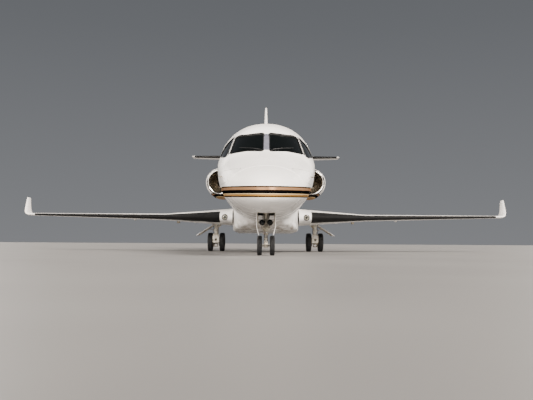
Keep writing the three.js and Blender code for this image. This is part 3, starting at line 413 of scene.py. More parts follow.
# Woven lining: near black, so that nothing glares in the windshields
DARK_LINING = coated("cockpit_lining_fabric", "#2a2b2a", "#1d1e1e", 0.8, 0.004, 0.0004)
# Screen glass: deep blue with a faint glow
DISPLAY = material("instrument_display", Base_Color=colour("#10202c"), Roughness=0.12,
                   Emission_Color=colour("#2f6f96"), Emission_Strength=0.5)[0]


# Meshes: a mesh is (points, faces), faces with four corners each, the last -1 where there are three

def smooth(table, place):
    """A table's columns at places along its first one, on cubic curves that rise or fall only where the
    rows do: each row's slope is the harmonic mean of the slopes beside it."""
    x, y = table[:, 0], table[:, 1:]
    step = np.diff(x)[:, None]
    slope = np.diff(y, axis=0) / step
    before, after = slope[:-1], slope[1:]
    same = before * after > 0
    inner = np.where(same, 2 * before * after / np.where(same, before + after, 1), 0)
    tangent = np.vstack([slope[:1], inner, slope[-1:]])
    place = np.atleast_1d(place).astype(float)
    k = np.clip(np.searchsorted(x, place) - 1, 0, len(step) - 1)
    t = ((place - x[k]) / step[k, 0])[:, None]
    return (y[k] * (1 + 2 * t) * (1 - t) ** 2 + tangent[k] * step[k] * t * (1 - t) ** 2
            + y[k + 1] * t ** 2 * (3 - 2 * t) + tangent[k + 1] * step[k] * t ** 2 * (t - 1))


def straight(table, place):
    """A table's columns at places along its first one, on straight lines between the rows."""
    return np.stack([np.interp(place, table[:, 0], column) for column in table[:, 1:].T], -1)


def steps(*stretches):
    """Places along a line, in stretches of (start, stop, step)."""
    parts = [np.linspace(a, b, max(2, round(abs(b - a) / size) + 1)) for a, b, size in stretches]
    return np.concatenate([parts[0]] + [part[1:] for part in parts[1:]])


def grid(points, around=False):
    """A mesh through a grid of points (n, m, 3), closed round its second way where asked."""
    n, m = points.shape[:2]
    index = np.arange(n * m).reshape(n, m)
    if around:
        index = np.hstack([index, index[:, :1]])
    faces = np.stack([index[:-1, :-1], index[:-1, 1:], index[1:, 1:], index[1:, :-1]], -1)
    return points.reshape(-1, 3), faces.reshape(-1, 4)


def inverted(mesh):
    """The same mesh with its faces turned over."""
    points, faces = mesh
    three = faces[:, 3] < 0
    return points, np.where(three[:, None], faces[:, [2, 1, 0, 3]], faces[:, ::-1])


def outward(mesh):
    """The mesh with its faces turned away from its middle: the sum over its faces of the face's place from
    the middle times its area vector, which is three times the volume inside, is above zero."""
    points, faces = mesh
    a, b, c = (points[faces[:, k]] for k in range(3))
    d = np.where(faces[:, 3:] >= 0, points[faces[:, 3]], a)
    volume = (((a + c) / 2 - points.mean(0)) * np.cross(c - a, d - b)).sum()
    return mesh if volume > 0 else inverted(mesh)


def capped(points):
    """A closed mesh through rings of points (n, m, 3), with each end ring filled by a fan to its middle."""
    base, faces = grid(points, around=True)
    n, m = points.shape[:2]
    ring = np.arange(m)
    after = (ring + 1) % m
    none = np.full(m, -1)
    first = np.stack([after, ring, np.full(m, n * m), none], -1)
    end = (n - 1) * m
    last = np.stack([end + ring, end + after, np.full(m, n * m + 1), none], -1)
    middles = points[[0, -1]].mean(1)
    return outward((np.vstack([base, middles]), np.vstack([faces, first, last])))


def joined(*meshes):
    """Several meshes as one."""
    points, faces, offset = [], [], 0
    for p, f in meshes:
        points.append(p)
        faces.append(np.where(f >= 0, f + offset, -1))
        offset += len(p)
    return np.vstack(points), np.vstack(faces)


def walled(over, under):
    """A closed panel between two grids of points: both faces and the rim round them."""
    edges = [np.concatenate([face[0], face[1:, -1], face[-1, -2::-1], face[-2:0:-1, 0]]) for face in (over, under)]
    return outward(joined(grid(over), inverted(grid(under)), inverted(grid(np.stack(edges), around=True))))


def flipped(mesh):
    """The same mesh seen in the mirror across the middle plane."""
    points, faces = inverted(mesh)
    return points * [-1, 1, 1], faces


def on_side(mesh, side):
    """A mesh made on the left, put on the side asked for."""
    return mesh if side == "left" else flipped(mesh)


def trimmed(mesh, measure):
    """The part of a mesh where a measure of its points is above zero. A triangle that crosses zero is
    split where the measure, taken as straight along its edges, is zero."""
    points, faces = mesh
    value = measure(points)
    quad = faces[:, 3] >= 0
    inside = np.where(faces >= 0, value[faces] > 0, True)
    whole = faces[inside.all(1)]
    crossing = ~inside.all(1) & (np.where(faces >= 0, value[faces] > 0, False)).any(1)
    some, four = faces[crossing], quad[crossing]
    tri = np.vstack([some[:, :3], some[four][:, [0, 2, 3]]])
    within = value[tri] > 0
    count = within.sum(1)
    kept = [whole, np.column_stack([tri[count == 3], np.full((count == 3).sum(), -1)])]
    new_points, offset = [points], len(points)
    for number in (1, 2):
        part = tri[count == number]
        if not len(part):
            continue
        odd = np.argmax(within[count == number] == (number == 1), 1)
        a, b, c = (np.take_along_axis(part, ((odd + k) % 3)[:, None], 1)[:, 0] for k in range(3))
        cuts = []
        for other in (b, c):
            share = (value[a] / (value[a] - value[other]))[:, None]
            new_points.append(points[a] + share * (points[other] - points[a]))
            cuts.append(offset + np.arange(len(a)))
            offset += len(a)
        none = np.full(len(a), -1)
        kept.append(np.stack([a, cuts[0], cuts[1], none] if number == 1 else [cuts[0], b, c, cuts[1]], -1))
    points, faces = np.vstack(new_points), np.vstack(kept).astype(int)
    used = np.unique(faces[faces >= 0])
    renumber = np.full(len(points) + 1, -1)
    renumber[used] = np.arange(len(used))
    return points[used], renumber[faces]


def piece(name, mesh, finish, body=AIRFRAME, replaces=None, slot=None, wall=0.0, sharp=38):
    """Puts a mesh in the scene as a piece that rides on a body, with its doubled points merged. A wall is its
    thickness inwards. Edges that bend by more than sharp degrees stay crisp."""
    points, faces = mesh
    corners = faces >= 0
    data = bpy.data.meshes.new(name)
    data.vertices.add(len(points))
    data.vertices.foreach_set("co", points.astype(np.float32).ravel())
    sizes = corners.sum(1)
    data.loops.add(int(sizes.sum()))
    data.loops.foreach_set("vertex_index", faces[corners].astype(np.int32))
    data.polygons.add(len(faces))
    data.polygons.foreach_set("loop_start", np.concatenate([[0], np.cumsum(sizes)[:-1]]).astype(np.int32))
    data.update(calc_edges=True)
    work = bmesh.new()
    work.from_mesh(data)
    bmesh.ops.remove_doubles(work, verts=work.verts, dist=DOUBLED)
    work.to_mesh(data)
    work.free()
    data.validate()
    data.polygons.foreach_set("use_smooth", np.ones(len(data.polygons), bool))
    data.set_sharp_from_angle(angle=math.radians(sharp))
    data.materials.append(finish)
    made = bpy.data.objects.new(name, data)
    bpy.context.scene.collection.objects.link(made)
    if wall:
        shell = made.modifiers.new("wall", "SOLIDIFY")
        shell.thickness, shell.offset = wall, -1.0
    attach(made, body)
    if replaces:
        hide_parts(replaces)
    return made


def pair(name, mesh, finish, body=AIRFRAME, replaces=None, slot=None, **more):
    """A piece on each side, from a mesh made on the left. A star in its body's or node's name is the side."""
    return [piece(f"{name}_{side}", on_side(mesh, side), finish, body.replace("*", side),
                  replaces and replaces.replace("*", side), slot, **more) for side in SIDES]


def frames_along(path):
    """Unit vectors across a path of points, two at right angles to it at each point, with little twist."""
    along = np.gradient(path, axis=0)
    along /= np.linalg.norm(along, axis=1, keepdims=True)
    steady = np.eye(3)[np.argmin(np.abs(along).max(0))]
    first = np.cross(along, steady)
    first /= np.linalg.norm(first, axis=1, keepdims=True)
    return first, np.cross(along, first)


def tube(path, radius, count=16):
    """A closed round tube along a path: at each point a circle of its radius, square to the path."""
    path = np.asarray(path, float)
    radius = np.broadcast_to(np.asarray(radius, float), len(path))
    first, second = frames_along(path)
    turn = np.linspace(0, 2 * np.pi, count, endpoint=False)[None, :, None]
    rings = np.cos(turn) * first[:, None] + np.sin(turn) * second[:, None]
    return capped(path[:, None] + radius[:, None, None] * rings)


def curve(points, count=24):
    """A smooth path through a few points, by cubic curves over their running length."""
    points = np.asarray(points, float)
    length = np.concatenate([[0], np.cumsum(np.linalg.norm(np.diff(points, axis=0), axis=1))])
    table = np.column_stack([length, points])
    return smooth(table, np.linspace(0, length[-1], count))


def rod(start, stop, radius, end_radius=None, count=24):
    """A closed round rod or cone: circles along the line between two points, whose radius runs evenly from one
    end's to the other's, and both end circles drawn in to ease the edges."""
    start, stop = np.asarray(start, float), np.asarray(stop, float)
    end_radius = radius if end_radius is None else end_radius
    length = np.linalg.norm(stop - start)
    ease = min(0.12 * min(radius, end_radius), 0.2 * length)
    share = np.array([0, ease, length - ease, length]) / length
    path = start + share[:, None] * (stop - start)
    radii = radius + share * (end_radius - radius)
    radii[[0, -1]] -= ease
    return tube(path, radii, count)


AXES = {"x": ((0, 1, 0), (0, 0, 1), (1, 0, 0)), "y": ((0, 0, 1), (1, 0, 0), (0, 1, 0)),
        "z": ((1, 0, 0), (0, 1, 0), (0, 0, 1))}


def turned(profile, centre, axis="y", count=96):
    """A profile of (radius, place) carried round an axis through a centre: each point goes round a circle of
    its radius."""
    profile = np.asarray(profile, float)
    u, v, w = (np.array(vector, float) for vector in AXES[axis])
    turn = np.linspace(0, 2 * np.pi, count, endpoint=False)[None, :, None]
    rings = profile[:, 0, None, None] * (np.cos(turn) * u + np.sin(turn) * v) + profile[:, 1, None, None] * w
    return grid(np.asarray(centre, float) + rings, around=True)


def bent_panel(door):
    """A panel of even thickness: a smooth path in (x, z), given half the thickness to each side and carried
    along Y, thinner at its rims."""
    path = curve(np.insert(np.array(door["section"]), 1, 0.0, axis=1), 26)[:, [0, 2]]
    along = np.gradient(path, axis=0)
    across = np.stack([along[:, 1], -along[:, 0]], -1) / np.linalg.norm(along, axis=1, keepdims=True)
    front, back = door["front"], door["back"]
    stations = np.array([front, front + 0.003, back - 0.003, back])
    rim = 0.6
    sizes = np.array([rim, 1, 1, rim])[:, None] * np.array([rim] + [1] * 24 + [rim]) * door["thick"] / 2
    faces = []
    for sign in (1, -1):
        flat = path[None] + sign * sizes[..., None] * across[None]
        faces.append(np.stack([flat[..., 0], at(stations)[:, None] + 0 * sizes, flat[..., 1]], -1))
    return walled(*faces)


def flat_panel(station, low, high, step, measure):
    """A flat panel square to Y that faces forward, where a measure of its points is above zero."""
    x, z = (steps((a, b, step)) for a, b in zip(low, high))
    points = np.stack(np.broadcast_arrays(x[:, None], at(station), z[None]), -1).astype(float)
    return trimmed(inverted(grid(points)), measure)


def eased(profile, count):
    """A profile made smooth through its points, by cubic curves over its running length."""
    return curve([(r, p, 0) for r, p in profile], count)[:, :2]


def slab(low, high, ease=0.01, rings=4):
    """A box with rounded edges: a rounded square carried up, drawn in at both ends along a quarter circle."""
    low, high = np.asarray(low, float), np.asarray(high, float)
    half, middle = (high - low) / 2, (high + low) / 2
    ease = min(ease, 0.45 * half.min())
    bend = np.linspace(0, np.pi / 2, rings)
    levels = [(ease * (1 - np.sin(b)), -half[2] + ease * (1 - np.cos(b))) for b in bend]
    levels += [(inset, -height) for inset, height in levels[::-1]]
    turn = np.concatenate([np.linspace(k, k + 1, rings) * np.pi / 2 for k in range(4)])
    corner = np.repeat([[1, 1], [-1, 1], [-1, -1], [1, -1]], rings, axis=0) * (half[:2] - ease)
    ring = []
    for inset, height in levels:
        radius = max(ease - inset, 1e-4)
        flat = corner + radius * np.stack([np.cos(turn), np.sin(turn)], -1)
        ring.append(np.column_stack([flat, np.full(len(flat), height)]) + middle)
    return capped(np.array(ring))


def cushion(low, high, crown=0.35, count=28):
    """A padded block: a superellipsoid, whose coordinates are powers of the sines and cosines of two
    angles, pulled in along the seam round its middle."""
    low, high = np.asarray(low, float), np.asarray(high, float)
    half, middle = (high - low) / 2, (high + low) / 2
    up = np.linspace(-np.pi / 2, np.pi / 2, count)[:, None]
    turn = np.linspace(0, 2 * np.pi, 2 * count, endpoint=False)[None]

    def power(value, exponent):
        """The value's size to a power, with its sign kept."""
        return np.sign(value) * np.abs(value) ** exponent

    seam = 1 - 0.02 * np.exp(-(up / 0.07) ** 2)
    x = power(np.cos(up), crown) * power(np.cos(turn), 0.3) * seam
    y = power(np.cos(up), crown) * power(np.sin(turn), 0.3) * seam
    z = power(np.sin(up), 0.55) + 0 * turn
    points = np.stack([x, y, z], -1) * half + middle
    points[0], points[-1] = points[0].mean(0), points[-1].mean(0)
    return outward(grid(points, around=True))


# Outlines: signed distances, below zero inside

def box_distance(u, v, low, high, radius):
    """Distance from a rectangle with round corners: how far a spot stands out past the corner's centre on each
    axis, taken together where both do, less the radius."""
    centre, half = (np.array(low) + high) / 2, (np.array(high) - low) / 2
    qu, qv = np.abs(u - centre[0]) - half[0] + radius, np.abs(v - centre[1]) - half[1] + radius
    return np.hypot(np.maximum(qu, 0), np.maximum(qv, 0)) + np.minimum(np.maximum(qu, qv), 0) - radius


def polygon_distance(u, v, corners, radius=0.0):
    """Distance from a polygon whose corners are rounded, drawn in first and then let out again."""
    corners = np.asarray(corners, float)
    middle = corners.mean(0)
    reach = np.linalg.norm(corners - middle, axis=1, keepdims=True)
    corners = middle + (corners - middle) * (1 - 1.3 * radius / reach)
    spot = np.stack([u, v], -1)
    nearest, crossings = np.full(len(spot), np.inf), np.zeros(len(spot), int)
    for a, b in zip(corners, np.roll(corners, -1, axis=0)):
        edge = b - a
        t = np.clip(((spot - a) @ edge) / (edge @ edge), 0, 1)
        nearest = np.minimum(nearest, np.linalg.norm(spot - a - t[:, None] * edge, axis=1))
        level = (spot[:, 1] > min(a[1], b[1])) & (spot[:, 1] <= max(a[1], b[1]))
        cross = a[0] + (spot[:, 1] - a[1]) * edge[0] / (edge[1] if edge[1] else 1e-9)
        crossings += level & (spot[:, 0] < cross)
    return np.where(crossings % 2 == 1, -nearest, nearest) - radius


# Fuselage

HULL_ROOTS = np.column_stack([np.sqrt(HULL[:, 0]), HULL[:, 1:]])
FAR = 9.0  # a distance that counts as clear of every opening


def hull_rows(stations):
    """Section values at stations. They are smoothed over the square root, which rounds the nose."""
    return smooth(HULL_ROOTS, np.sqrt(stations))


def hull_skin(stations, angles, inset=0.0):
    """Points of the fuselage skin: round each section by angle, out along it by powers of sine and cosine."""
    half, top, bottom, widest, upper, lower, drawn = hull_rows(stations).T[..., None]
    s, c = np.sin(angles)[None], np.cos(angles)[None]
    over = s >= 0
    power = 2 / np.where(over, upper, lower)
    reach = np.maximum(np.where(over, top - widest, widest - bottom) - inset, 0)
    u = np.abs(s) ** power
    flat = np.where(over, 16 * drawn * u ** 2 * (1 - u) ** 2, 0)
    x = np.sign(c) * np.maximum(np.maximum(half - inset, 0) * np.abs(c) ** power - flat, 0)
    z = widest + np.sign(s) * reach * u
    return np.stack([x, at(stations)[:, None] + 0 * x, z], -1)


def hull_mesh(stations, angles, inset=0.0, around=False):
    """A stretch of the fuselage skin as a mesh that faces out."""
    return inverted(grid(hull_skin(stations, angles, inset), around))


def hull_half(station, z, inset=0.0):
    """Half width of the fuselage at stations and heights."""
    half, top, bottom, widest, upper, lower, drawn = hull_rows(np.atleast_1d(station)).T
    over = z > widest
    power = np.where(over, upper, lower)
    u = np.minimum(1, np.abs(z - widest) / (np.where(over, top - widest, widest - bottom) - inset))
    return (half - inset) * (1 - u ** power) ** (1 / power) - np.where(over, 16 * drawn * u ** 2 * (1 - u) ** 2, 0)


def on_hull(stations, heights, side=1, proud=0.0):
    """Points on the fuselage's side at stations and heights."""
    stations, heights = np.broadcast_arrays(np.asarray(stations, float), np.asarray(heights, float))
    x = side * hull_half(stations.ravel(), heights.ravel(), -proud)
    return np.stack([x, at(stations.ravel()), heights.ravel()], -1).reshape(*stations.shape, 3)


def station_of(points):
    """Stations of points, the other way round from at."""
    return points[:, 1] + LENGTH / 2


def degrees(*stretches):
    """Angles in radians from stretches in degrees: 0 is left, 90 up."""
    return np.radians(steps(*stretches))


def side_angles(sign, low, high, step):
    """Angles round one side of a section, between two angles over the level line."""
    return degrees((low, high, step) if sign > 0 else (180 - high, 180 - low, step))


LEFT_ANGLES = degrees((-90, -45, 4.5), (-45, 0, 3.0), (0, 28, 1.2), (28, 90, 2.8))
CABIN_ANGLES = np.concatenate([LEFT_ANGLES, np.pi - LEFT_ANGLES[-2:0:-1]])
COCKPIT_ANGLES = degrees((-90, -10, 3.0), (-10, 88, 1.3), (88, 92, 2.0), (92, 190, 1.3), (190, 270, 3.0))[:-1]
END_ANGLES = degrees((-90, 270, 3.0))[:-1]
AFT_ANGLES = degrees((-90, 270, 2.4))[:-1]


def windshield_gap(points):
    """Distance from the windshields' outlines, seen from ahead."""
    return polygon_distance(np.abs(points[:, 0]), points[:, 2], WINDSHIELD, 0.035)


def cockpit_gap(points):
    """Distance from the cockpit's glass openings: the nearer of the windshield and the side window, which stays
    a post's width behind the windshield."""
    side = polygon_distance(station_of(points), points[:, 2], SIDE_WINDOW, 0.05)
    front = windshield_gap(points)
    return np.minimum(front, np.maximum(side, POST - front))


def bay_gap(points):
    """Distance from the nose gear's bay, a rounded rectangle seen from below that reaches up to its roof."""
    flat = box_distance(points[:, 0], station_of(points), NOSE_BAY["low"], NOSE_BAY["high"], 0.01)
    return np.maximum(flat, points[:, 2] - NOSE_BAY["top"])


def window_centres(side):
    """Stations of a side's cabin windows: the right side has one more in front, where the left has its door."""
    first, pitch, count = (CABIN_WINDOW[key] for key in ("first", "pitch", "count"))
    return first + pitch * np.arange(0 if side > 0 else -1, count)


def window_gap(points):
    """Distance from the nearest cabin window of the side that a point is on."""
    station, z = station_of(points), points[:, 2]
    (wide, tall), height = CABIN_WINDOW["half"], CABIN_WINDOW["height"]
    nearest = np.full(len(points), FAR)
    for side in SIDES.values():
        for centre in window_centres(side):
            away = box_distance(station, z, (centre - wide, height - tall), (centre + wide, height + tall),
                                CABIN_WINDOW["corner"])
            nearest = np.where(points[:, 0] * side > 0, np.minimum(nearest, away), nearest)
    return nearest


def door_gap(points, door, margin=0.0):
    """Distance from a doorway, let in by a margin. Its ends are square to its hinge line, and a domed top
    lies on a cylinder about that line."""
    joint = next(j for j in frame["joints"] if j["name"] == door["joint"])
    place, (ax, ay, _) = np.array(joint["pos_m"]), joint["axis"]
    dx, dy = (points[:, :2] - place[:2]).T
    along, across = dx * ax + dy * ay, dx * ay - dy * ax
    (front, bottom), (back, top) = door["low"], door["high"]
    high = top - margin + (0.01 if door["domed"] else 0)
    away = box_distance(along, points[:, 2], (margin, bottom + margin), (back - front - margin, high),
                        door["corner"] + 2 * margin)
    if door["domed"]:
        radius = math.hypot(float(hull_half(front, top)[0]) - place[0], top - bottom) - 1.6 * margin
        away = np.maximum(away, np.hypot(across, points[:, 2] - bottom) - radius)
    return np.where(points[:, 0] > 0, away, FAR)


def put_fuselage():
    """Radome, cockpit, cabin, aft section and tail cone, each a stretch of the same skin with its openings. The
    tail cone ends in a rim round its exhaust: its last section, shrunk about its middle and moved forward."""
    joint = SEAM / 2
    stations = np.linspace(0, np.sqrt(RADOME_END - NOSE_SEAM), 40) ** 2
    nose = hull_mesh(stations, END_ANGLES, around=True)
    piece("radome_skin", nose, TRIMMED_PAINT, replaces="radome", slot="white_composite")

    stations = steps((RADOME_END + NOSE_SEAM, 2.1, 0.04), (2.1, COCKPIT_END - joint, 0.022))
    skin = trimmed(trimmed(hull_mesh(stations, COCKPIT_ANGLES, around=True), cockpit_gap), bay_gap)
    piece("cockpit_skin", skin, TRIMMED_PAINT, replaces="cockpit_shell", slot="white_skin", wall=0.016)

    stations = steps((COCKPIT_END + joint, 4.95, 0.03), (4.95, 11.2, 0.026), (11.2, CABIN_END - joint, 0.1))
    skin = trimmed(hull_mesh(stations, CABIN_ANGLES, around=True), window_gap)
    skin = trimmed(skin, lambda p: door_gap(p, CABIN_DOOR))
    piece("cabin_skin", skin, TRIMMED_PAINT, replaces="cabin_shell", slot="white_skin", wall=WALL * 0.9)

    stations = steps((CABIN_END + joint, 13.1, 0.035), (13.1, AFT_END - joint, 0.1))
    skin = trimmed(hull_mesh(stations, AFT_ANGLES, around=True), lambda p: door_gap(p, HOLD_DOOR))
    piece("aft_skin", skin, TRIMMED_PAINT, replaces="aft_fuselage", slot="white_skin", wall=0.06)

    cone = hull_skin(steps((AFT_END + joint, TAIL_END, 0.08)), END_ANGLES)
    middle = cone[-1].mean(0)
    shrunk, forward = TAIL_RIM.T[..., None, None]
    rim = middle + (cone[-1:] - middle) * shrunk - forward * np.array([0, 1, 0])
    piece("tail_cone_skin", inverted(grid(np.vstack([cone, rim]), around=True)), TRIMMED_PAINT, replaces="tail_cone",
          slot="white_composite", wall=0.004)


# Width of the seal round the cockpit glass: station, width
SEAL_WIDTH = np.array([[3.62, 0.016], [3.78, 0.085]])


def seal_room(points):
    """Distance inside the outer edge of the cockpit's seal. Its width grows aft, and over the windshields by as
    much as a spot lies over their top corners, up to 22 mm."""
    width = np.interp(station_of(points), SEAL_WIDTH[:, 0], SEAL_WIDTH[:, 1])
    over = (np.abs(points[:, 0]) < 0.72) & (station_of(points) < 3.3)
    return width - cockpit_gap(points) + np.where(over, np.clip(points[:, 2] - 2.8, 0, 0.022), 0)


def put_glazing():
    """Panes cut from the skin a little inside it, lapping past their openings, and the thin frames round them,
    cut from a skin just outside it."""
    for side, sign in SIDES.items():
        angles, stations = side_angles(sign, -10, 88, 1.6), steps((2.1, COCKPIT_END - 0.006, 0.025))
        inner, outer = hull_mesh(stations, angles, 0.016), hull_mesh(stations, angles, -PROUD)
        front = trimmed(inner, lambda p: LAP - windshield_gap(p))
        rest = trimmed(trimmed(inner, lambda p: LAP - cockpit_gap(p)), lambda p: windshield_gap(p) - 0.03)
        for kind, pane in (("windshield", front), ("side_window", rest)):
            piece(f"{kind}_pane_{side}", pane, GLASS, replaces=f"{kind}_{side}", slot="glazing", wall=0.012)
        seal = trimmed(trimmed(outer, lambda p: cockpit_gap(p) + 0.005), seal_room)
        piece(f"cockpit_window_seal_{side}", seal, BLACK_PLASTIC, wall=0.02)

        angles, stations = side_angles(sign, 0, 28, 1.0), steps((4.3, 11.2, 0.025))
        panes = trimmed(hull_mesh(stations, angles, 0.02), lambda p: LAP - window_gap(p))
        piece(f"cabin_window_panes_{side}", panes, CABIN_GLASS, slot="glazing", wall=0.008)
        rims = trimmed(hull_mesh(stations, angles, -PROUD), lambda p: window_gap(p) + 0.003)
        piece(f"cabin_window_rims_{side}", trimmed(rims, lambda p: 0.012 - window_gap(p)), POLISHED, wall=0.004)

    # A grey strip over the post between the windshields, its tone partly painted shade and a painted reflection of the
    # dark sky
    middle = hull_mesh(steps((2.2, 3.5, 0.03)), degrees((82, 98, 0.5)), -0.0006)
    post = trimmed(middle, lambda p: -box_distance(p[:, 0], p[:, 2], (-0.064, 2.362), (0.064, 2.89), 0.004))
    piece("windshield_centre_post", post, POST_PAINT_WITH_SHADE, wall=0.001)


def ribbon(path, width, side=1, proud=PROUD):
    """A thin strip on the fuselage's side: a closed path of (station, z), and half the width to each side of it,
    square to it."""
    path = np.asarray(path, float)
    along = np.roll(path, -1, axis=0) - np.roll(path, 1, axis=0)
    across = np.stack([along[:, 1], -along[:, 0]], -1) / np.linalg.norm(along, axis=1, keepdims=True)
    rows = [path + across * offset for offset in (-width / 2, width / 2)]
    points = np.stack([on_hull(row[:, 0], row[:, 1], side, proud) for row in rows])
    mesh = grid(points, around=True)
    return inverted(mesh) if side > 0 else mesh


def rounded_path(low, high, radius, count=10, step=0.08):
    """Points round a rectangle: a quarter circle at each corner, and the straight sides divided between them."""
    (u0, v0), (u1, v1) = low, high
    corners = [(u1 - radius, v1 - radius), (u0 + radius, v1 - radius), (u0 + radius, v0 + radius),
               (u1 - radius, v0 + radius)]
    points = []
    for k, (cu, cv) in enumerate(corners):
        bend = np.linspace(k, k + 1, count) * np.pi / 2
        points.append(np.stack([cu + radius * np.cos(bend), cv + radius * np.sin(bend)], -1))
        nu, nv = corners[(k + 1) % 4]
        start = points[-1][-1]
        stop = np.array([nu + radius * math.cos((k + 1) * math.pi / 2), nv + radius * math.sin((k + 1) * math.pi / 2)])
        number = max(2, int(np.linalg.norm(stop - start) / step))
        points.append(start + (stop - start) * (np.arange(1, number) / number)[:, None])
    return np.vstack(points)


# Access panels and the emergency exit: low corner, high corner, corner radius, side
PANELS = [((1.05, 1.55), (1.75, 1.85), 0.05, 1), ((1.05, 1.55), (1.75, 1.85), 0.05, -1),
          ((8.19, 2.02), (8.85, 2.98), 0.12, -1), ((11.35, 2.3), (11.75, 2.75), 0.05, -1),
          ((14.3, 2.2), (14.9, 2.5), 0.05, 1), ((14.3, 2.2), (14.9, 2.5), 0.05, -1),
          ((13.5, 1.9), (14.0, 2.15), 0.04, -1), ((4.1, 1.5), (4.7, 1.75), 0.04, -1)]


def put_panels():
    """Sealed seams round the access panels, and a polished surround on the skin round each doorway, from 1 to
    20 mm outside its outline."""
    seams = [ribbon(rounded_path(low, high, radius), 0.005, side, 0.0006) for low, high, radius, side in PANELS]
    piece("access_panel_seams", joined(*seams), SEALANT, wall=0.001)
    rims = []
    for door, band, stations in ((CABIN_DOOR, (-46, 58, 0.7), (3.96, 4.86, 0.012)),
                                 (HOLD_DOOR, (-58, 12, 0.7), (12.21, 12.99, 0.012))):
        skin = trimmed(hull_mesh(steps(stations), degrees(band), -0.0008), lambda p: door_gap(p, door) - 0.001)
        rims.append(trimmed(skin, lambda p: 0.02 - door_gap(p, door)))
    piece("door_surround_seals", joined(*rims), POLISHED, wall=0.001)


def door_skin(door, band, stations):
    """The skin inside a door's outline, let in by the open line round what moves."""
    return trimmed(hull_mesh(steps(stations), degrees(band)), lambda p: -door_gap(p, door, RUNNING))


def plate(outline, axis, middle, half, ease, rim):
    """A flat plate: its outline carried along an axis by half its thickness each way from a middle, and shrunk
    about its own centre from a share of the way on towards both faces."""
    outline = np.asarray(outline, float)
    centre = outline.mean(0)
    rings = [np.insert(centre + (outline - centre) * size, axis, middle + half * place, axis=1)
             for place, size in ((-1, rim), (-ease, 1), (ease, 1), (1, rim))]
    return capped(np.array(rings))


def put_doors():
    """The doors are cut from the same skin. The cabin door carries wedge steps, each a triangle in (x, z), whose
    treads are level when it hangs open, and a handrail on each side."""
    skin = door_skin(CABIN_DOOR, (-50, 60, 1.6), (3.98, 4.84, 0.022))
    piece("cabin_door_skin", skin, TRIMMED_PAINT, "cabin_door", "cabin_door", "white_skin", wall=0.055)
    turn = math.radians(STEP["open"])
    station = (CABIN_DOOR["low"][0] + CABIN_DOOR["high"][0]) / 2

    def inside(z):
        """Half width inside the door's wall."""
        return float(hull_half(station, z, WALL)[0])

    treads = []
    for z in STEP["first"] + STEP["pitch"] * np.arange(STEP["count"]):
        low, high = inside(z), inside(z + STEP["rise"])
        tip = (low + STEP["tread"] * math.cos(turn), z + STEP["tread"] * math.sin(turn))
        treads.append(plate([(low + 0.03, z), tip, (high + 0.03, z + STEP["rise"])], 1, at(station), STEP["half"],
                            0.98, 0.96))
    piece("airstair_treads", joined(*treads), CARPET, "cabin_door", slot="white_skin")
    foot, head = inside(1.6), inside(2.75)
    rails = [tube(curve([(foot + 0.02, y, 1.6), (foot - 0.1, y, 1.75), (head - 0.12, y, 2.6), (head + 0.02, y, 2.75)]),
                  0.011, 12) for y in (at(station) - 0.33, at(station) + 0.33)]
    piece("airstair_rails", joined(*rails), CHROME, "cabin_door")
    lining = hull_mesh(steps((4.02, 4.8, 0.05)), degrees((-40, 46, 4.0)), WALL * 0.72)
    lining = trimmed(lining, lambda p: -0.03 - door_gap(p, CABIN_DOOR, RUNNING))
    piece("cabin_door_lining", lining, LINING, "cabin_door", wall=0.012)
    handle = ribbon(rounded_path((4.3, 1.62), (4.52, 1.68), 0.028), 0.012, 1, 0.004)
    piece("cabin_door_handle", handle, POLISHED, "cabin_door", wall=0.004)
    skin = door_skin(HOLD_DOOR, (-60, 10, 1.8), (12.23, 12.97, 0.022))
    piece("baggage_door_skin", skin, TRIMMED_PAINT, "baggage_door", "baggage_door", "white_skin", wall=0.05)
    latches = [ribbon(rounded_path((s, 1.78), (s + 0.09, 1.81), 0.014), 0.008, 1, 0.003) for s in (12.35, 12.76)]
    piece("baggage_door_latches", joined(*latches), POLISHED, "baggage_door", wall=0.003)


def put_fairing():
    """The belly fairing: rounded rectangles that swell and close again along the body."""
    stations = steps((5.75, 7.4, 0.06), (7.4, 10.7, 0.3), (10.7, 12.35, 0.07))
    rings = [np.insert(rounded_path((-half, bottom), (half, top), radius, 10, 9.0), 1, at(station), axis=1)
             for station, (half, top, bottom, radius) in zip(stations, smooth(FAIRING, stations))]
    piece("belly_fairing_skin", capped(np.array(rings)), BELLY_PAINT, replaces="belly_fairing",
          slot="white_composite")


# Wings and tail

def foil_half(u):
    """Half thickness of an aerofoil of full thickness 1 at shares of its chord: its square root, which rounds the
    nose, and four powers that close it at the rear."""
    return 5 * (0.2969 * np.sqrt(u) - 0.126 * u - 0.3516 * u ** 2 + 0.2843 * u ** 3 - 0.1036 * u ** 4)


def camber_rise(camber, u):
    """Rise of the middle line over the chord, as a share of it."""
    return camber * 4 * CAMBER * u * (1 - u)


def foil_points(rows, place, u, over, camber, proud=0.0):
    """Points of a flying surface at shares of the chord: half its thickness above or below the middle line,
    tipped over by its roll."""
    edge, chord, height, thick, roll = rows[..., None, :].transpose(2, 0, 1) if rows.ndim == 2 else rows
    rise = camber_rise(camber, u) * chord + over * (foil_half(np.abs(u)) * thick + proud)
    lean = np.radians(roll)
    x = place[:, None] - rise * np.sin(lean)
    return np.stack([x, at(edge + u * chord), height + rise * np.cos(lean)], -1)


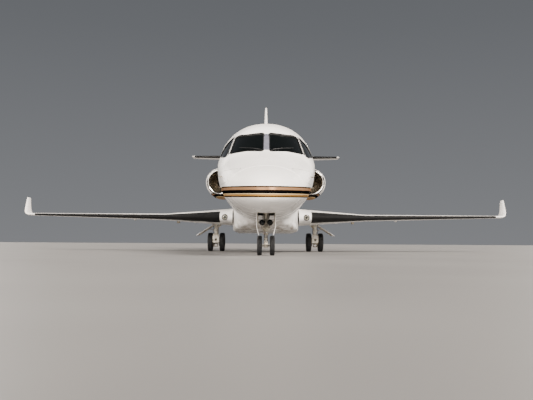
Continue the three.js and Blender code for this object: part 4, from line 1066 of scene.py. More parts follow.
def hinge_line(table, spec, places, camber, read):
    """A hinge line, straight between its two ends. At places along the span: its points, its shares of the
    chord, the chord, how far the skins stand over and under it, and how much deeper a round about it is
    when cut square to the span."""
    ends, shares = np.array(spec["ends"]), np.array(spec["chord"])
    edge, chord, height = straight(table, ends)[:, :3].T
    knots = np.column_stack([ends, at(edge + shares * chord), height + camber_rise(camber, shares) * chord])
    reach = knots[1] - knots[0]
    points = knots[0] + ((places - ends[0]) / reach[0])[:, None] * reach
    edge, chord, height, thick = read(table, places)[:, :4].T
    share = (points[:, 1] - at(edge)) / chord
    off = height + camber_rise(camber, share) * chord - points[:, 2]
    half = foil_half(share) * thick
    return points, share, chord, half + off, half - off, np.linalg.norm(reach) / abs(reach[0])


def round_hinge(points, radius, bend, deeper):
    """Points ahead of a hinge line, at a radius and a bend up or down from straight ahead."""
    return points[:, None] + radius[..., None] * np.stack([0 * bend, -deeper * np.cos(bend), np.sin(bend)], -1)


def foil_loft(table, places, front, back, camber=1.0, read=straight, count=26, proud=0.0):
    """A closed stretch of a flying surface: rings over the top from its front share of the chord to its
    back, and back again underneath. Ahead of a hinged surface its skins end at a round hollow about the
    hinge line."""
    places = np.asarray(places, float)
    rows = read(table, places)
    ease = (1 - np.cos(np.linspace(0, np.pi, count))) / 2
    front = np.broadcast_to(front, places.shape)
    hollow, ends = [], [np.broadcast_to(1.0 if isinstance(back, dict) else back, places.shape)] * 2
    if isinstance(back, dict):
        points, share, chord, up, down, deeper = hinge_line(table, back, places, camber, read)
        radius = np.maximum(up, down) + COVE
        ends = [share - deeper * np.sqrt(radius ** 2 - side ** 2) / chord for side in (up, down)]
        turn = np.linspace(0, 1, 12)[1:-1]
        bend = np.arcsin(up / radius)[:, None] * (1 - turn) - np.arcsin(down / radius)[:, None] * turn
        hollow = [round_hinge(points, radius[:, None] + 0 * bend, bend, deeper)]
    over, under = (foil_points(rows, places, front[:, None] + ease * (end - front)[:, None], side, camber, proud)
                   for end, side in zip(ends, (1, -1)))
    under = under[:, ::-1]
    closed_nose, closed_tail = np.all(front == 0), np.all(ends[0] == 1)
    under = under[:, int(closed_tail):under.shape[1] - int(closed_nose)]
    return capped(np.concatenate([over, *hollow, under], 1))


def hinged(table, spec, camber=1.0, read=straight, count=22):
    """What turns about a hinge line: the rear of the surface behind a round nose about that line, whose
    radius goes from the one over the line to the one under it."""
    ends = spec["ends"]
    knots = table[(table[:, 0] > ends[0]) & (table[:, 0] < ends[1]), 0]
    places = np.unique(np.concatenate([np.linspace(*ends, 9), knots]))
    rows = read(table, places)
    points, share, _, up, down, deeper = hinge_line(table, spec, places, camber, read)
    ease = (1 - np.cos(np.linspace(0, np.pi, count))) / 2
    u = share[:, None] + ease * (1 - share)[:, None]
    over = foil_points(rows, places, u, 1, camber)
    under = foil_points(rows, places, u[:, ::-1], -1, camber)[:, 1:]
    bend = np.broadcast_to(np.linspace(-np.pi / 2, np.pi / 2, 16)[1:-1], (len(places), 14))
    radius = (up[:, None] * (1 + np.sin(bend)) + down[:, None] * (1 - np.sin(bend))) / 2
    return capped(np.concatenate([over, under, round_hinge(points, radius, bend, deeper)], 1))


def cut_span(spec):
    """Where the fixed part makes room for a hinged surface along the span."""
    return spec["ends"][0] - spec["room"][0], spec["ends"][1] + spec["room"][1]


def boot_share(places):
    """The boot's depth as a share of the chord."""
    return np.interp(places, BOOT[:, 0], BOOT[:, 1]) / straight(WING, places)[:, 1]


def wing_skin():
    """The fixed wing: stretches along the span, each from the boot or the nose back to a hinge or the tail."""
    (a, b), (c, d), (start, end) = cut_span(FLAP), cut_span(AILERON), BOOT[[0, -1], 0]
    zones = [(start, a, None, 1), (a, b, None, FLAP), (b, c, None, 1), (c, d, None, AILERON), (d, end, None, 1),
             (end, WING_TIP, 0, 1)]
    parts = []
    for low, high, front, back in zones:
        places = np.linspace(low, high, max(2, int((high - low) / 0.4) + 2))
        places = np.unique(np.append(places, WING_BEND)) if low < WING_BEND < high else places
        parts.append(foil_loft(WING, places, boot_share(places) if front is None else front, back))
    inner = foil_loft(WING, steps((WING[0, 0], start, 0.02)), 0, 1, count=60)

    def clear(points):
        """Distance outside the landing light's opening in the nose of the wing."""
        away = np.hypot(points[:, 0] - LAMP["x"], points[:, 2] - LAMP["z"]) - LAMP["radius"] - 0.01
        return np.maximum(away, points[:, 1] - at(LAMP["front"] + 0.3))

    return joined(trimmed(inner, clear), *parts)


def put_wings():
    """Wing, winglet, flap and aileron skins, the de-icing boot that closes the wing's nose, and a black strip round the
    front of its root that paints the shadow in the gap there."""
    places = np.unique(np.append(np.linspace(*BOOT[[0, -1], 0], 20), WING_BEND))
    boot = foil_loft(WING, places, 0.0, boot_share(places), proud=0.001)
    winglet = foil_loft(WINGLET, np.linspace(8.6915, 8.942, 28), 0, 1, read=smooth)
    pair("wing_skin", wing_skin(), PAINT, replaces="wing_*", slot="white_skin")
    pair("deicing_boot", boot, BOOTS, replaces="leading_edge_*", slot="boot")
    # Painted shadow: a black strip round the front of the wing's root stands for the shadow in the gap beside the
    # fairing
    pair("wing_root_seal", foil_loft(ROOT, np.array([0.94, 1.0045]), 0.0, 0.2), BLACK_PLASTIC)
    pair("winglet_skin", winglet, PAINT, replaces="winglet_*", slot="white_composite")
    pair("flap_skin", hinged(WING, FLAP), PAINT, "flap_*", "flap_*", "white_skin")
    pair("aileron_skin", hinged(WING, AILERON), PAINT, "aileron_*", "aileron_*", "white_skin")


def put_landing_lights():
    """A lamp in each wing's nose: ring, bowl, shield and lens are profiles of (radius, way aft of its front)
    carried round its axis, over a bulb."""
    x, z, radius, front = (LAMP[key] for key in ("x", "z", "radius", "front"))
    for name, finish, wall, count, profile in (
            ("ring", BLACK_PLASTIC, 0.0, 48, [(radius + 0.012, 0.2), (radius + 0.012, 0.0), (radius + 0.006, -0.012),
                                              (radius - 0.008, -0.008), (radius - 0.012, 0.02)]),
            ("reflector", LAMP_BOWL, 0.0, 48, [(radius - 0.011, 0.01), (0.05, 0.04), (0.02, 0.06), (0, 0.06)]),
            ("shield", BLACK_PLASTIC, 0.0, 32, [(0.031, 0.03), (0.031, 0.014), (0.026, 0.009), (0, 0.008)]),
            ("lens", CLEAR_GLASS, 0.002, 48, [(radius - 0.009, 0.004), (0.045, -0.004), (0.02, -0.008), (0, -0.009)])):
        mesh = inverted(turned(profile, (x, at(front), z), count=count))
        pair(f"landing_light_{name}", mesh, finish, wall=wall)
    bulb = rod((x, at(front + 0.058), z), (x, at(front + 0.02), z), 0.022, 0.014, 16)
    pair("landing_light_bulb", bulb, LAMP_CLEAR)


def static_wicks(table, places, reach, drop=0.0):
    """Thin cones standing back from a trailing edge at places along the span."""
    wicks = []
    for place, (edge, chord, height) in zip(places, straight(table, np.array(places))[:, :3]):
        tail = at(edge + chord)
        wicks.append(rod((place, tail - 0.03, height), (place, tail + reach, height - drop), 0.004, 0.002, 8))
    return joined(*wicks)


# Flap track fairing: (radius, way aft of the hinge)
TRACK = [(0.001, -0.65), (0.038, -0.6), (0.048, -0.49), (0.04, -0.29), (0.016, -0.14), (0.001, -0.13)]


def put_wing_trim():
    """Flap track fairings, jack pad, position light and static wicks. A fairing is a spindle under the flap's
    hinge, round and then stretched to its depth."""
    tracks = []
    for place, depth in ((2.35, 0.13), (4.5, 0.1)):
        edge, chord, height = straight(WING, np.array([place]))[0, :3]
        hinge = edge + chord * float(np.interp(place, FLAP["ends"], FLAP["chord"]))
        points, faces = turned(eased(TRACK, 24), (place, at(hinge), 0), count=20)
        tracks.append((points * [1, 1, depth / max(TRACK)[0]] + [0, 0, height - 0.2 * depth], faces))
    pair("flap_track_fairings", joined(*tracks), PAINT, slot="white_skin")
    pair("jack_pad", slab((2.88, at(9.86), 0.93), (2.98, at(9.96), 1.1), 0.008), STEEL, slot="white_skin")
    path = curve([(8.71, at(11.908), 1.293), (8.75, at(11.948), 1.303), (8.79, at(12.028), 1.323),
                  (8.805, at(12.128), 1.328)], 16)
    lamp = tube(path, 0.016 * np.sin(np.linspace(0.5, np.pi - 0.3, 16)), 14)
    piece("position_light_left", lamp, LAMP_RED)
    piece("position_light_right", flipped(lamp), LAMP_GREEN)
    pair("aileron_static_wicks", static_wicks(WING, (6.1, 6.7, 7.3, 7.9), 0.11, 0.004), BLACK_PLASTIC, "aileron_*")


def put_tail():
    """Tailplane, fin, elevators and rudder. The fin's parts are drawn lying along X and then stood up along Z."""
    a, b = cut_span(ELEVATOR)
    halves = [foil_loft(TAILPLANE, np.linspace(low, high, 6), 0.0, back, 0.0)
              for low, high, back in ((0.0, a, 1), (a, b, ELEVATOR), (b, 3.3, 1), (3.3, 3.38, 1))]
    skin = joined(*(part for half in halves for part in (half, flipped(half))))
    piece("tailplane_skin", skin, PAINT, replaces="tailplane", slot="white_composite")
    places = np.linspace(0.3, 3.25, 12)
    depth = 0.19 / straight(TAILPLANE, places)[:, 1]
    pair("tailplane_boot", foil_loft(TAILPLANE, places, 0.0, depth, 0.0, straight, 44, 0.003), BOOTS, slot="boot")
    pair("elevator_skin", hinged(TAILPLANE, ELEVATOR, 0.0), PAINT, "elevator_*", "elevator_*", "white_composite")
    pair("elevator_static_wicks", static_wicks(TAILPLANE, (1.2, 1.9, 2.6), 0.03), BLACK_PLASTIC, "elevator_*")

    def stood(mesh):
        """Turns what was drawn lying along X to stand along Z."""
        points, faces = mesh
        return points[:, [2, 1, 0]] * [-1, 1, 1], faces

    a, b = cut_span(RUDDER)
    parts = [foil_loft(FIN, steps((low, high, 0.12)), 0.0, back, 0.0, smooth)
             for low, high, back in ((2.99, a, 1), (a, b, RUDDER), (b, FIN_CAP, 1))]
    piece("fin_skin", stood(joined(*parts)), PAINT, replaces="fin", slot="white_composite")
    cap = foil_loft(FIN, np.array([FIN_CAP, 6.25, 6.27, 6.29, 6.305, 6.32]), 0.0, 1, 0.0, smooth)
    piece("fin_tip_cap", stood(cap), BLACK_PLASTIC, slot="white_composite")
    piece("rudder_skin", stood(hinged(FIN, RUDDER, 0.0, smooth)), PAINT, "rudder", "rudder", "white_composite")
    piece("fin_tip_beacon", turned(eased(FIN_BEACON, 14)[::-1], (0, at(17.5), 0), "z", 32), LAMP_RED)
    piece("tailplane_root_fairing", turned(eased(TAIL_BULLET, 40), (0, at(0), 3.98), count=40), PAINT)


# Engines

def engine_turned(profile, count=96):
    """A profile of (radius, station) carried round the left engine's axis."""
    return turned(profile, (ENGINE["x"], at(0), ENGINE["z"]), count=count)


def engine_ring(part, count, station):
    """Copies of a part that stands up from the left engine's axis, turned evenly round it at a station."""
    points, faces = part
    copies = []
    for turn in np.linspace(0, 2 * np.pi, count, endpoint=False):
        c, s = math.cos(turn), math.sin(turn)
        spun = points @ np.array([[c, 0, -s], [0, 1, 0], [s, 0, c]])
        copies.append((spun + [ENGINE["x"], at(station), ENGINE["z"]], faces))
    return joined(*copies)


def fan_blades():
    """Twisted blades: along each the chord turns from near the axis at the root to flat at the tip, and its
    section is a parabola's arch with a half circle's thickness."""
    count, root, tip, middle, chord = (BLADES[key] for key in ("count", "root", "tip", "middle", "chord"))
    r = np.linspace(root, tip, 12)[:, None]
    t = np.linspace(-0.5, 0.5, 9)[None]
    share = (r - root) / (tip - root)
    twist = np.radians(28 + 34 * share)
    arch = 0.02 * (1 - 4 * t ** 2) * (1 - 0.6 * share)
    across = t * (chord * (0.85 + 0.25 * share))
    thick = 0.006 * np.sqrt(np.clip(1 - 4 * t ** 2, 0, 1)) * (1 - 0.5 * share)
    faces = []
    for sign in (1, -1):
        off = arch + sign * thick
        y = across * np.cos(twist) - off * np.sin(twist) + 0.02 * share
        x = across * np.sin(twist) + off * np.cos(twist)
        faces.append(np.stack([x, y, r + 0 * x], -1))
    return engine_ring(capped(np.concatenate([faces[0], faces[1][:, ::-1]], 1)), count, middle)


def stator_vanes(station, root, tip, count, chord, lean):
    """Straight thin vanes between two radii, each turned a little out of the axis."""
    points, faces = slab((-0.004, -chord / 2, root), (0.004, chord / 2, tip), 0.003, 2)
    c, s = math.cos(math.radians(lean)), math.sin(math.radians(lean))
    return engine_ring((points @ np.array([[c, s, 0], [-s, c, 0], [0, 0, 1]]), faces), count, station)


def put_engines():
    """Cowl, intake lip, duct, core with its lobed mixer and cone, vanes, fan and pylon of each engine. All but
    the blades, vanes and pylon are profiles carried round the engine's axis."""
    pair("cowl_skin", engine_turned(eased(COWL, 60)), COWL_PAINT, replaces="nacelle_*", slot="white_composite")
    pair("intake_lip", engine_turned(eased(LIP, 40)), POLISHED)
    pair("intake_lip_seal", engine_turned(LIP_SEAL), BLACK_PLASTIC)
    # The duct liner and the vanes are painted paler, as painted light inside the shaded intake
    pair("duct_liner", inverted(engine_turned(eased(DUCT, 50))), DUCT_METAL_PAINTED_LIGHTER)
    pair("nozzle_edge", inverted(engine_turned(NOZZLE_EDGE)), HEATED)
    core = joined(engine_turned(eased(CORE, 40), 64), mixer_lobes())
    pair("core_case", core, HEATED, replaces="engine_core_*", slot="engine_metal")
    pair("exhaust_cone", engine_turned(eased(CONE, 30), 64), HEATED)
    pair("stator_vanes", stator_vanes(13.33, 0.17, 0.4, 30, 0.11, 12), DUCT_METAL_PAINTED_LIGHTER)
    pair("fan_blades", fan_blades(), TITANIUM, "fan_*", "fan_*", "engine_metal", sharp=60)
    pair("fan_spinner", engine_turned(eased(SPINNER, 40), 48), BLACK_PLASTIC, "fan_*")
    pair("pylon_skin", pylon(), PAINT, replaces="pylon_*", slot="white_composite")


def mixer_lobes():
    """The lobed mixer round the core's exhaust: a tube whose radius waves more and more towards its end."""
    turn = np.linspace(0, 2 * np.pi, 144, endpoint=False)[None]
    along = np.linspace(0, 1, 14)[:, None]
    radius = 0.262 + along * (0.045 * np.cos(12 * turn) - 0.02)
    y = at(15.0 + 0.3 * along) + 0 * turn
    points = np.stack([ENGINE["x"] + radius * np.sin(turn), y, ENGINE["z"] + radius * np.cos(turn)], -1)
    return grid(points, around=True)


def pylon():
    """A short swept fin between body and engine, with an aerofoil section lying flat, cut off inside the cowl."""
    section = [12.95, 2.35, ENGINE["z"], 0.19, 0]
    body = foil_loft(np.array([[0.75] + section, [1.3] + section]), np.linspace(0.75, 1.2, 8), 0.0, 1.0, 0.0)
    cowl = np.array([(s, r) for r, s in COWL])

    def clear(points):
        """Distance outside the cowl."""
        away = np.hypot(points[:, 0] - ENGINE["x"], points[:, 2] - ENGINE["z"])
        return away - np.interp(station_of(points), cowl[:, 0], cowl[:, 1])

    return trimmed(body, clear)


# Landing gear

GROOVE = 0.007  # depth of the grooves in a tread
# Dish of a wheel from its rim to the hub cap: share of the rim's radius, share of half its width
DISH = np.array([[0.86, 0.62], [0.7, 0.3], [0.5, 0.34], [0.4, 0.75], [0.3, 0.95], [0.0, 1.0]])
BOLTS = 10


def tyre(wheel, centre):
    """A tyre: a profile with shoulders, round sides and grooves in its tread, carried round the axle."""
    half, radius, rim = wheel["width"] / 2, wheel["radius"], wheel["rim"]
    depth = radius - rim
    right = [(rim, 0.66), (rim + 0.06 * depth, 0.8), (rim + 0.25 * depth, 0.96), (rim + 0.45 * depth, 1.0),
             (rim + 0.7 * depth, 0.96), (radius - 0.12 * depth, 0.84), (radius - 0.03 * depth, 0.68)]
    side = eased([(r, place * half) for r, place in right], 20)
    shoulder = np.array([[radius - 0.0005, 0.6 * half]])
    tread = [(radius - deep, (place + off) * half) for place in (0.42, 0.14, -0.14, -0.42)
             for off, deep in ((0.05, 0), (0.035, GROOVE), (-0.035, GROOVE), (-0.05, 0))]
    profile = np.vstack([side, shoulder, tread, shoulder * [1, -1], side[::-1] * [1, -1]])
    return turned(profile, centre, "x", 96)


def wheel_disc(wheel, centre, outwards):
    """A forged rim: flanges, well and dished disc as one profile carried round the axle, with a plate behind it
    and a ring of bolts."""
    rim, half = wheel["rim"], 0.66 * wheel["width"] / 2
    well = [(rim - 0.001, -half), (rim + 0.006, -half), (rim + 0.006, -half + 0.008), (rim - 0.006, -half + 0.012),
            (rim - 0.006, half - 0.012), (rim + 0.006, half - 0.008), (rim + 0.006, half), (rim - 0.008, half)]
    disc = turned(np.vstack([well, DISH * [rim, half]]) * [1, outwards], centre, "x", 64)
    back = turned([(rim - 0.006, -0.5 * half * outwards), (0.0, -0.5 * half * outwards)], centre, "x", 32)
    disc, back = (disc, inverted(back)) if outwards > 0 else (inverted(disc), back)
    bolts = []
    for turn in np.linspace(0, 2 * np.pi, BOLTS, endpoint=False):
        y, z = 0.6 * rim * math.cos(turn), 0.6 * rim * math.sin(turn)
        start = np.array(centre) + [0.3 * half * outwards, y, z]
        bolts.append(rod(start, start + [0.016 * outwards, 0, 0], 0.009, 0.008, 10))
    return joined(disc, back, *bolts)


def put_wheels(name, wheel, x, body, tyres, rims):
    """A twin wheel: a tyre and a disc to each side of the leg's line, on one axle."""
    y, z, offset = at(wheel["station"]), wheel["radius"], wheel["offset"]
    discs = []
    for node, sign in tyres:
        centre = (x + sign * offset, y, z)
        piece(f"{node}_rubber", inverted(tyre(wheel, centre)), RUBBER, body, node, "tyre", sharp=50)
        discs.append(wheel_disc(wheel, centre, sign))
    axle = rod((x - offset, y, z), (x + offset, y, z), 0.19 * wheel["rim"])
    piece(f"{name}_wheel_discs", joined(*discs, axle), RIM_PAINT, body, rims, "rim_metal")


def hose(radius, *points):
    """A hose: a round tube along a smooth path through a few points."""
    return tube(curve(points), radius, 10)


def put_nose_leg():
    """The leg with its brace, pins and lamp bar, the steering collar, and the links out to the doors: rods
    between places on the leg's axis and beside it."""
    y, lamp_x, lamp_z = at(NOSE_WHEEL["station"]), TAXI_LAMP["x"], TAXI_LAMP["z"]
    leg = [rod((0, y, 0.522), (0, y, 1.32), 0.06), rod((0, y, 0.84), (0, y, 0.88), 0.07),
           rod((0, y, 1.0), (0, y, 1.04), 0.068), rod((0, y - 0.02, 0.8), (0, at(1.5), 1.29), 0.026),
           rod((-0.12, at(1.5), 1.28), (0.12, at(1.5), 1.28), 0.022), rod((-0.17, y, 1.2), (0.17, y, 1.2), 0.03),
           rod((-lamp_x, y - 0.08, lamp_z), (lamp_x, y - 0.08, lamp_z), 0.018),
           slab((-0.022, y - 0.09, 0.712), (0.022, y, 0.758), 0.006)]
    piece("nose_leg_casting", joined(*leg), GEAR_PAINT, replaces="nose_leg", slot="gear_metal")
    collar = [rod((0, y, 0.56), (0, y, 0.65), 0.082), rod((0, y, 0.535), (0, y, 0.562), 0.07),
              rod((0.03, y - 0.085, 0.605), (0.1, y - 0.07, 0.605), 0.021),
              rod((-0.1, y - 0.07, 0.605), (-0.03, y - 0.085, 0.605), 0.021)]
    piece("nose_steering_collar", joined(*collar), LIGHT_ALLOY_PAINTED_PALER, slot="gear_metal")
    links = [rod((sign * 0.198, y - 0.06, 0.785), (sign * 0.06, y - 0.045, 0.61), 0.0125) for sign in (1, -1)]
    ends = [rod((sign * 0.198, y - 0.085, 0.785), (sign * 0.198, y - 0.035, 0.785), 0.02) for sign in (1, -1)]
    piece("nose_door_links", joined(*links, *ends), LIGHT_ALLOY_PAINTED_PALER)
    hoses = [hose(0.007, (0.05, y - 0.05, 1.15), (0.085, y - 0.05, 0.95), (0.066, y - 0.02, 0.8),
                  (0.07, y + 0.02, 0.66)),
             hose(0.006, (-0.05, y - 0.05, 1.15), (-0.09, y - 0.05, 0.93), (-0.07, y - 0.02, 0.78),
                  (-0.072, y + 0.02, 0.66))]
    piece("nose_leg_hoses", joined(*hoses), HOSE)


def put_nose_fork():
    """The fork that turns under the leg, with its torque link in front, its piston and the wheels: rods from place
    to place, and a plate over the axle."""
    y, z = at(NOSE_WHEEL["station"]), NOSE_WHEEL["radius"]
    fork = [rod((0, y, 0.46), (0, y, 0.505), 0.06), rod((0, y, z + 0.09), (0, y, z - 0.045), 0.05, 0.042),
            plate([(y - 0.05, z - 0.05), (y + 0.05, z - 0.05), (y + 0.06, z + 0.05), (y, z + 0.1),
                   (y - 0.055, z + 0.05)], 0, 0, 0.047, 0.84, 0.93),
            slab((-0.03, y - 0.15, z + 0.012), (0.03, y - 0.03, z + 0.058), 0.01)]
    elbow, foot, head = (y - 0.15, 0.375), (y - 0.14, z + 0.035), (y - 0.04, 0.48)
    for end in (foot, head):
        for sign in (1, -1):
            fork.append(rod((sign * 0.03, *end), (sign * 0.012, *elbow), 0.0095))
        fork.append(rod((-0.042, *end), (0.042, *end), 0.017))
    fork.append(rod((-0.03, *elbow), (0.03, *elbow), 0.019))
    piece("nose_fork_forging", joined(*fork), GEAR_PAINT, "nose_steering", "nose_fork", "gear_metal")
    piece("nose_oleo_piston", rod((0, y, z + 0.05), (0, y, 0.521), 0.042), CHROME, "nose_steering")
    put_wheels("nose", NOSE_WHEEL, 0, "nose_wheels", [("nose_tyre_left", 1), ("nose_tyre_right", -1)], "nose_rims")


# Taxi lamp: share of its radius, way aft of its rim
LAMP_CAN = [(0.0, 0.09), (0.6, 0.088), (0.85, 0.05), (1, 0.012), (1.03, 0.008), (1.03, -0.004), (0.93, -0.005),
            (0.9, 0.004)]
LAMP_BACK = [(0.9, 0.004), (0.62, 0.034), (0.2, 0.05), (0.0, 0.052)]
LAMP_FRONT = [(0.9, 0.0), (0.5, -0.0045), (0.0, -0.006)]


def put_nose_bay():
    """Two taxi lamps on the leg, each three profiles carried round its axis, the bent doors with their ribs, and
    the bay's lining: a box seen from inside, open below."""
    centres = [(x, at(NOSE_WHEEL["station"]) - 0.15, TAXI_LAMP["z"]) for x in (-TAXI_LAMP["x"], TAXI_LAMP["x"])]
    # The taxi lamps' reflectors are dark as painted shade
    for name, finish, wall, profile in (("housings", BLACK_PLASTIC, 0.0, LAMP_CAN),
                                        ("reflectors", REFLECTOR_WITH_PAINTED_SHADE, 0.0, LAMP_BACK),
                                        ("lenses", LAMP_GLASS, 0.002, LAMP_FRONT)):
        profile = np.array(profile) * [TAXI_LAMP["radius"], 1]
        lamps = [inverted(turned(profile, centre, count=40)) for centre in centres]
        piece(f"taxi_light_{name}", joined(*lamps), finish, wall=wall)
    x = NOSE_DOOR["section"][0][0]
    ribs = [slab((x - 0.022, at(s) - 0.01, 0.66), (x - 0.006, at(s) + 0.01, 0.92), 0.004) for s in (1.5, 1.74, 1.98)]
    pair("nose_door_panel", bent_panel(NOSE_DOOR), PAINT, replaces="nose_gear_door_*", slot="white_skin")
    pair("nose_door_ribs", joined(*ribs), GEAR_PAINT)
    (x0, s0), (x1, s1), top = NOSE_BAY["low"], NOSE_BAY["high"], NOSE_BAY["top"]
    bay = inverted(slab((x0 - 0.002, at(s0) - 0.002, 0.93), (x1 + 0.002, at(s1) + 0.002, top), 0.004))
    piece("nose_bay_lining", trimmed(bay, lambda p: p[:, 2] - 0.95), BAY_PRIMER)


BRAKE = [(0.06, -0.02), (0.125, -0.02), (0.13, -0.012), (0.13, 0.02), (0.06, 0.02)]  # (radius, place on the axle)


def put_main_gear():
    """Trailing arm gear: a fixed strut down to a knee behind an open yoke plate, an arm back to the axle and a
    shock strut above it. Rods run from place to place, and the arm is a plate."""
    x, y, z = MAIN_X, at(MAIN_WHEEL["station"]), MAIN_WHEEL["radius"]
    strut, knee, signs = at(MAIN_STRUT), 0.5, (1, -1)
    yoke_low, yoke_high, hole = (x - 0.104, 0.285), (x + 0.104, 0.545), (x, 0.385, 0.042)

    def yoke_room(points):
        """Distance inside the plate's outline and outside its hole."""
        inside = -box_distance(points[:, 0], points[:, 2], yoke_low, yoke_high, 0.045)
        return np.minimum(inside, np.hypot(points[:, 0] - hole[0], points[:, 2] - hole[1]) - hole[2])

    arm = plate([(strut - 0.05, 0.53), (strut + 0.04, 0.55), (y + 0.05, z + 0.09), (y + 0.08, z), (y, z - 0.07),
                 (strut - 0.045, 0.46)], 0, x, 0.055, 0.84, 0.93)
    leg = [rod((x, strut, knee), (x, strut, 0.96), 0.06), rod((x - 0.085, strut, knee), (x + 0.085, strut, knee), 0.05),
           rod((x, strut, 0.655), (x, strut, 0.72), 0.078), rod((x, strut, 0.86), (x, strut, 0.9), 0.072), arm,
           rod((x, y + 0.062, 0.6), (x, y + 0.02, 0.9), 0.05),
           rod((x, strut + 0.01, 0.74), (x - 0.23, strut + 0.04, 0.95), 0.035),
           rod((x - 0.06, y + 0.035, z + 0.05), (x + 0.06, y + 0.035, z + 0.05), 0.035)]
    leg += [rod((x - sign * 0.078, strut - 0.055, 0.57), (x - sign * 0.078, strut - 0.055, 0.5), 0.018)
            for sign in signs]
    tow = [rod((x + sign * 0.04, strut - 0.06, 0.29), (x + sign * 0.055, strut - 0.03, 0.17), 0.013) for sign in signs]
    tow.append(rod((x - 0.07, strut - 0.03, 0.165), (x + 0.07, strut - 0.03, 0.165), 0.014))
    brakes = [turned(BRAKE, (x + sign * 0.105, y, z), "x", 40) for sign in signs]
    hoses = [hose(0.007, (x + 0.07, strut - 0.02, 0.9), (x + 0.09, strut - 0.03, 0.7), (x + 0.085, strut + 0.03, 0.52),
                  (x + 0.1, y - 0.06, z + 0.08)),
             hose(0.007, (x - 0.06, strut + 0.05, 0.9), (x - 0.08, strut - 0.03, 0.66),
                  (x - 0.085, strut + 0.04, 0.52), (x - 0.1, y - 0.06, z + 0.08))]
    pair("main_leg_forging", joined(*leg), LIGHT_ALLOY_PAINTED_PALER, replaces="main_leg_*", slot="gear_metal")
    yoke = flat_panel(MAIN_STRUT - 0.085, yoke_low, yoke_high, 0.0052, yoke_room)
    pair("main_yoke_plate", yoke, LIGHT_ALLOY_PAINTED_PALER, slot="gear_metal", wall=0.06)
    pair("main_tow_fitting", joined(*tow), STEEL)
    pair("main_shock_piston", rod((x, y + 0.036, z + 0.06), (x, y + 0.061, 0.61), 0.031), CHROME)
    pair("brake_packs", joined(*brakes), STEEL, wall=0.004)
    pair("brake_hoses", joined(*hoses), HOSE)
    for side, sign in SIDES.items():
        put_wheels(f"main_{side}", MAIN_WHEEL, sign * x, f"main_wheels_{side}",
                   [(f"main_tyre_outer_{side}", sign), (f"main_tyre_inner_{side}", -sign)], f"main_rims_{side}")


def put_main_doors():
    """The open leg doors hang outwards and down from two lugs each: a thin panel with stiffeners inside, square
    in from its chord, and a link from the leg."""
    path = np.array(MAIN_DOOR["section"])
    start, along = path[0], (path[-1] - path[0]) / np.linalg.norm(path[-1] - path[0])
    (x0, z0), (x1, z1) = (start + reach * along + 0.014 * np.array([along[1], -along[0]]) for reach in (0.06, 0.6))
    ribs = [rod((x0, at(s), z0), (x1, at(s), z1), 0.009) for s in (9.2, 9.43, 9.66)]
    lugs = [slab((MAIN_X + 0.08, at(s), 0.85), (MAIN_X + 0.11, at(s + 0.06), 0.99), 0.006) for s in (9.11, 9.69)]
    link = rod((1.69, at(MAIN_STRUT), 0.70), (1.88, at(MAIN_STRUT), 0.742), 0.012)
    pair("main_door_panel", bent_panel(MAIN_DOOR), PAINT, replaces="main_gear_door_*", slot="white_skin")
    pair("main_door_stiffeners", joined(*ribs, *lugs, link), GEAR_PAINT)


# Cockpit and cabin

def crew_seat():
    """A pilot's chair: its column and armrests as rounded boxes, and padded pan, back and headrest."""
    parts = [slab((0.37, at(3.26), 1.302), (0.59, at(3.58), 1.6), 0.02),
             slab((0.265, at(3.5), 1.9), (0.3, at(3.25), 1.94), 0.01),
             slab((0.66, at(3.5), 1.9), (0.695, at(3.25), 1.94), 0.01)]
    pads = [cushion((0.27, at(3.16), 1.6), (0.69, at(3.6), 1.74)),
            cushion((0.28, at(3.55), 1.7), (0.68, at(3.67), 2.33), 0.4),
            cushion((0.35, at(3.56), 2.31), (0.61, at(3.66), 2.48), 0.5)]
    return joined(*parts), joined(*pads)


def cabin_seats():
    """Single seats facing each other in pairs on one plinth: rounded boxes for the base and the arms, and padded
    pan, back and headrest."""
    shells, pads = [slab((0.43, at(5.7), 1.302), (0.79, at(10.52), 1.35), 0.01)], []
    for i in range(5):
        station = 5.7 + 1.08 * i
        back = station if i % 2 == 0 else station + 0.41
        shells += [slab((0.42, at(station + 0.06), 1.34), (0.8, at(station + 0.45), 1.56), 0.03),
                   slab((0.365, at(station + 0.04), 1.62), (0.425, at(station + 0.48), 1.94), 0.02),
                   slab((0.815, at(station + 0.04), 1.62), (0.875, at(station + 0.48), 1.94), 0.02)]
        pads += [cushion((0.42, at(station + 0.02), 1.56), (0.82, at(station + 0.5), 1.74)),
                 cushion((0.4, at(back), 1.7), (0.84, at(back + 0.11), 2.24), 0.4),
                 cushion((0.48, at(back), 2.2), (0.76, at(back + 0.1), 2.38), 0.5)]
    return joined(*shells), joined(*pads)


def galley_cupboard():
    """A cupboard against the wall: a rounded box, none of whose points stands wider than the lining."""
    points, faces = slab((0.33, at(4.15), 1.302), (1.02, at(4.77), 2.4), 0.01)
    inside = hull_half(station_of(points), points[:, 2], 0.1)
    return np.column_stack([np.minimum(points[:, 0], inside), points[:, 1:]]), faces


def bulkhead(station, inset, doorway=None, low=FLOOR, step=0.04):
    """A wall across the fuselage above a floor, with a doorway through it where asked."""
    def room(points):
        """Distance inside the section, let in a little, and outside the doorway."""
        inside = hull_half(np.full(len(points), station), points[:, 2], inset) - np.abs(points[:, 0])
        return np.minimum(inside, box_distance(points[:, 0], points[:, 2], *doorway, 0.08)) if doorway else inside

    return flat_panel(station, (-1.24, low), (1.24, 3.36), step, room)


